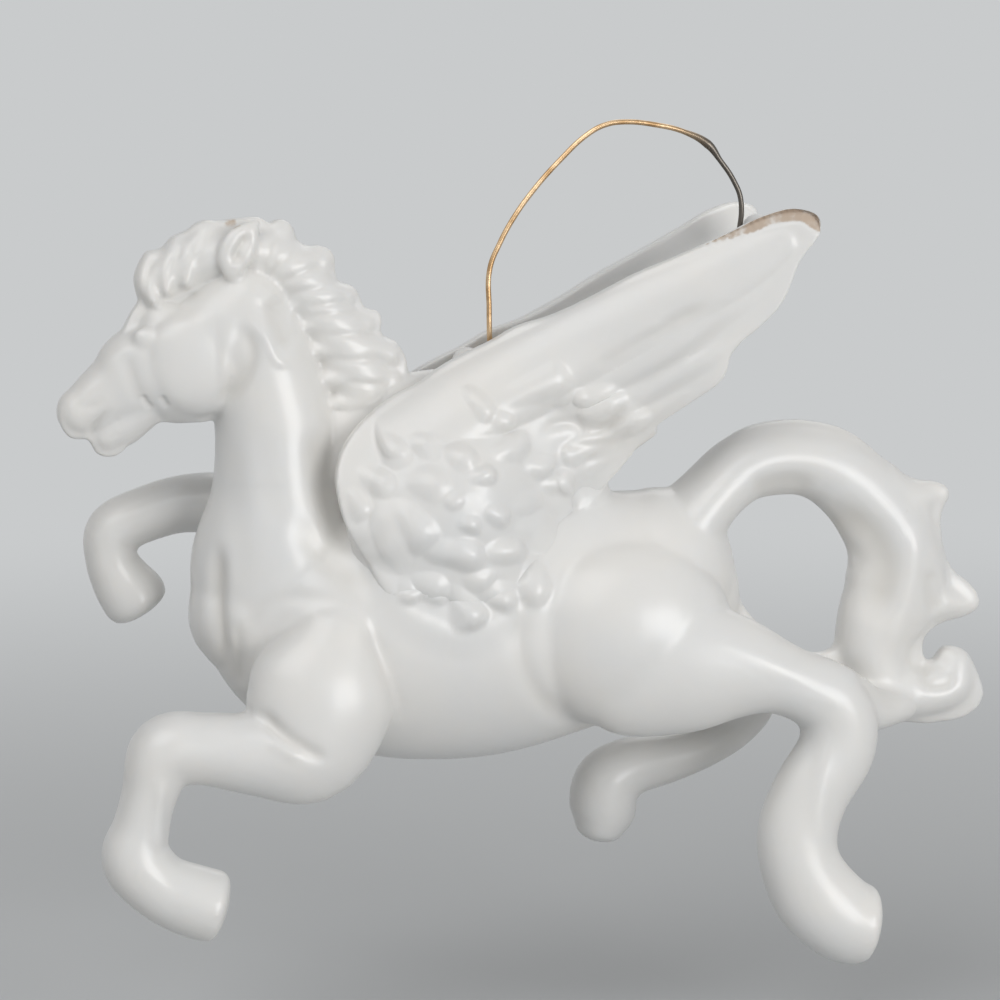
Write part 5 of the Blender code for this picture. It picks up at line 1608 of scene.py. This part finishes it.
@dataclass(frozen=True)
class Pegasus:
    """The whole figurine, piece by piece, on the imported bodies.

    Args:
        glaze: the porcelain's finish.
        brass: the wire's finish.
        far_forward: how far the far wing is set towards the head.
        far_tilt: how far it is turned about its tip, in degrees.
        flank_floor: heights between which the flank starts to swell towards a wing.
        flank_front: places along the figure between which it starts.
        flank_rear: places between which it ends.
        wing_clear: heights between which a wing leaves the flank.
        foot_coverts: height below which the coverts run on over the flank.
        tight: reach of the fillet at the wing's front lobe.
        broad: how much broader the fillet is behind it.
        lobe_slant: slant of the line behind the front lobe.
        lobe_level: height at which that line's places count.
        lobe_rear: places between which the fillet broadens.
        collar: heights above the neck seam between which the head settles onto the body.
    """

    glaze: GlazedPorcelain = GlazedPorcelain()
    brass: DrawnBrass = DrawnBrass()
    far_forward: float = 3.0
    far_tilt: float = 1.8
    flank_floor: tuple[float, float] = (-68.0, -62.0)
    flank_front: tuple[float, float] = (-40.0, -34.0)
    flank_rear: tuple[float, float] = (4.0, 9.0)
    wing_clear: tuple[float, float] = (-50.0, -44.0)
    foot_coverts: float = -52.5
    tight: float = 0.5
    broad: float = 3.4
    lobe_slant: float = 0.5
    lobe_level: float = -50.0
    lobe_rear: tuple[float, float] = (-34.0, -27.0)
    collar: tuple[float, float] = (0.6, 4.0)

    def build(self) -> None:
        """Build, join and place every piece."""
        body, head = GlazedBody(), GlazedHead()
        near = FeatheredWing("feathered_near_wing")
        far = FeatheredWing(
            "feathered_far_wing", far=True, forward=self.far_forward, tilt=self.far_tilt
        )
        skins = {owner: owner.model() for owner in (body, head, near, far)}
        self.join(skins[body], skins[head], skins[near], skins[far])
        rows = (
            (body, ("torso", "tail", "near_foreleg", "far_foreleg", "near_hind_leg",
                    "far_hind_leg")),
            (head, ("head_and_neck",)),
            (near, ("near_wing",)),
            (far, ("far_wing",)),
        )
        for owner, nodes in rows:
            self.place(owner.dress(skins[owner], self.glaze), "figurine", nodes, "glazed_porcelain")
        self.place(HangerWire().build(self.brass), "hanger", ("hanger_wire",), "brass_wire")

    def join(self, body: Skin, head: Skin, near: Skin, far: Skin) -> None:
        """Blend the wings' lower and rear edges into the barrel and the head into the neck.

        Args:
            body: skin of the body.
            head: skin of the head and upper neck.
            near: skin of the near wing.
            far: skin of the far wing.
        """
        body_tree = body.tree()
        swell = np.zeros(len(body.points))
        for wing, side in ((near, -1.0), (far, 1.0)):
            inside = smooth_step(body.points[:, 1] * side, -1.0, 1.0)
            inside *= smooth_step(body.points[:, 2], *self.flank_floor)
            inside *= smooth_step(body.points[:, 0], *self.flank_front)
            inside *= 1.0 - smooth_step(body.points[:, 0], *self.flank_rear)
            swell += body.fillet(wing.tree(), self.softness(body.points) * inside)
        for wing in (near, far):
            upper = smooth_step(wing.points[:, 2], *self.wing_clear)
            rise = wing.fillet(body_tree, self.softness(wing.points) * (1.0 - upper))
            wing.points += wing.normals() * rise[:, None]
            wing.write()
        body.points += body.normals() * swell[:, None]
        body.write()
        lowest = [covert for covert in COVERTS if covert.z < self.foot_coverts]
        body.raise_coverts(lowest, Flank.BOTH)
        low, high = (SEAM_HEIGHT + height for height in self.collar)
        below = 1.0 - smooth_step(head.points[:, 2], low, high)
        neck = (head.points[:, 2] > SEAM_HEIGHT - 1.0) & (head.points[:, 0] > NECK_FRONT)
        head.settle_onto(body.tree(), below * neck)

    def softness(self, points: np.ndarray) -> np.ndarray:
        """Return how broad the fillet is: tight at the wing's front lobe and broad behind it.

        Args:
            points: places on a skin.

        Returns:
            One reach in millimetres for each point.
        """
        along = points[:, 0] - self.lobe_slant * (points[:, 2] - self.lobe_level)
        return self.tight + self.broad * smooth_step(along, *self.lobe_rear)

    @staticmethod
    def place(piece: bpy.types.Object, body: str, nodes: tuple[str, ...], slot: str) -> None:
        """Let a piece ride on its body and stand for its nodes.

        Args:
            piece: the piece.
            body: name of the body that carries it.
            nodes: names of the nodes that it stands for.
            slot: name of the material slot; not used.
        """
        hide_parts(*nodes)
        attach(piece, body)
        log.info("%s rides on %s for %s", piece.name, body, ", ".join(nodes))


@dataclass(frozen=True)
class Lamp:
    """One soft square light that faces the figurine.

    Args:
        name: name of the light.
        place: where it hangs, in metres.
        size: its side, in metres.
        power: its power in watts.
    """

    name: str
    place: tuple[float, float, float]
    size: float
    power: float

    def hang(self, aim: Vector) -> None:
        """Hang the light.

        Args:
            aim: the point that it faces.
        """
        light = bpy.data.lights.new(self.name, "AREA")
        light.size = self.size
        light.energy = self.power
        item = bpy.data.objects.new(self.name, light)
        item.location = self.place
        item.rotation_euler = (aim - Vector(self.place)).to_track_quat("-Z", "Y").to_euler()
        bpy.context.scene.collection.objects.link(item)


@dataclass(frozen=True)
class Studio:
    """Pale floor, soft lights and the camera.

    Args:
        floor_height: height of the floor, in metres.
        floor_radius: radius of the floor, in metres.
        camera_place: place of the camera, in metres.
        aim: the point that it looks at, in metres.
        lens: focal length, in millimetres.
        frame_width: width of the frame that it covers, in millimetres.
        backdrop: colour that the camera sees behind the floor.
        ambient: strength of the plain light from all around.
        lamps: the soft lights.
    """

    floor_height: float = -0.112
    floor_radius: float = 25.0
    camera_place: tuple[float, float, float] = (-0.077428, -0.445736, 0.009819)
    aim: tuple[float, float, float] = (-0.015267, -0.003437, -0.045022)
    lens: float = 135.0
    frame_width: float = 36.0
    backdrop: str = "#C9CBCC"
    ambient: float = 0.30
    lamps: tuple[Lamp, ...] = (
        Lamp("key_light", (0.45, -0.80, 0.04), 0.50, 4.8),
        Lamp("fill_light", (-0.50, -0.55, 0.75), 0.80, 4.2),
        Lamp("rim_light", (0.25, 0.70, 0.60), 0.60, 1.2),
    )

    def build(self) -> None:
        """Set up the whole studio."""
        self.floor()
        for lamp in self.lamps:
            lamp.hang(Vector(self.aim))
        self.surroundings()
        self.camera()
        bpy.context.scene.view_settings.view_transform = "Standard"

    def floor(self) -> None:
        """Lay the floor."""
        mesh = bmesh.new()
        bmesh.ops.create_circle(mesh, cap_ends=True, segments=96, radius=self.floor_radius)
        data = bpy.data.meshes.new("studio_floor")
        mesh.to_mesh(data)
        mesh.free()
        item = bpy.data.objects.new("studio_floor", data)
        item.location = (0.0, 0.0, self.floor_height)
        bpy.context.scene.collection.objects.link(item)
        data.materials.append(StudioSweep(self.backdrop).material())

    def surroundings(self) -> None:
        """Give plain light from all around, and the backdrop's colour past the floor."""
        world = bpy.data.worlds.new("studio")
        bpy.context.scene.world = world
        world.use_nodes = True
        backing = world.node_tree.nodes["Background"]
        seen = seen_directly(world)
        strength = add_node(world, "ShaderNodeMapRange", None,
                            {"To Min": self.ambient, "To Max": 1.0}, {"Value": seen})
        colour = add_node(world, "ShaderNodeMix", {"data_type": "RGBA"},
                          {6: (1.0, 1.0, 1.0, 1.0), 7: paint(self.backdrop)}, {0: seen})
        world.node_tree.links.new(strength.outputs["Result"], backing.inputs["Strength"])
        world.node_tree.links.new(colour.outputs[2], backing.inputs["Color"])

    def camera(self) -> None:
        """Set the camera at the photograph's angle."""
        data = bpy.data.cameras.new("camera")
        data.sensor_width = self.frame_width
        data.lens = self.lens
        data.clip_start = 0.01
        item = bpy.data.objects.new("camera", data)
        item.location = self.camera_place
        aim = Vector(self.aim) - Vector(self.camera_place)
        item.rotation_euler = aim.to_track_quat("-Z", "Y").to_euler()
        bpy.context.scene.collection.objects.link(item)
        bpy.context.scene.camera = item


def main() -> None:
    """Load the frame, build the figurine on it and set up the studio."""
    logging.basicConfig(level=logging.INFO, format="%(name)s: %(message)s")
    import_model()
    Pegasus().build()
    Studio().build()
    bpy.context.view_layer.update()


if __name__ == "__main__":
    main()
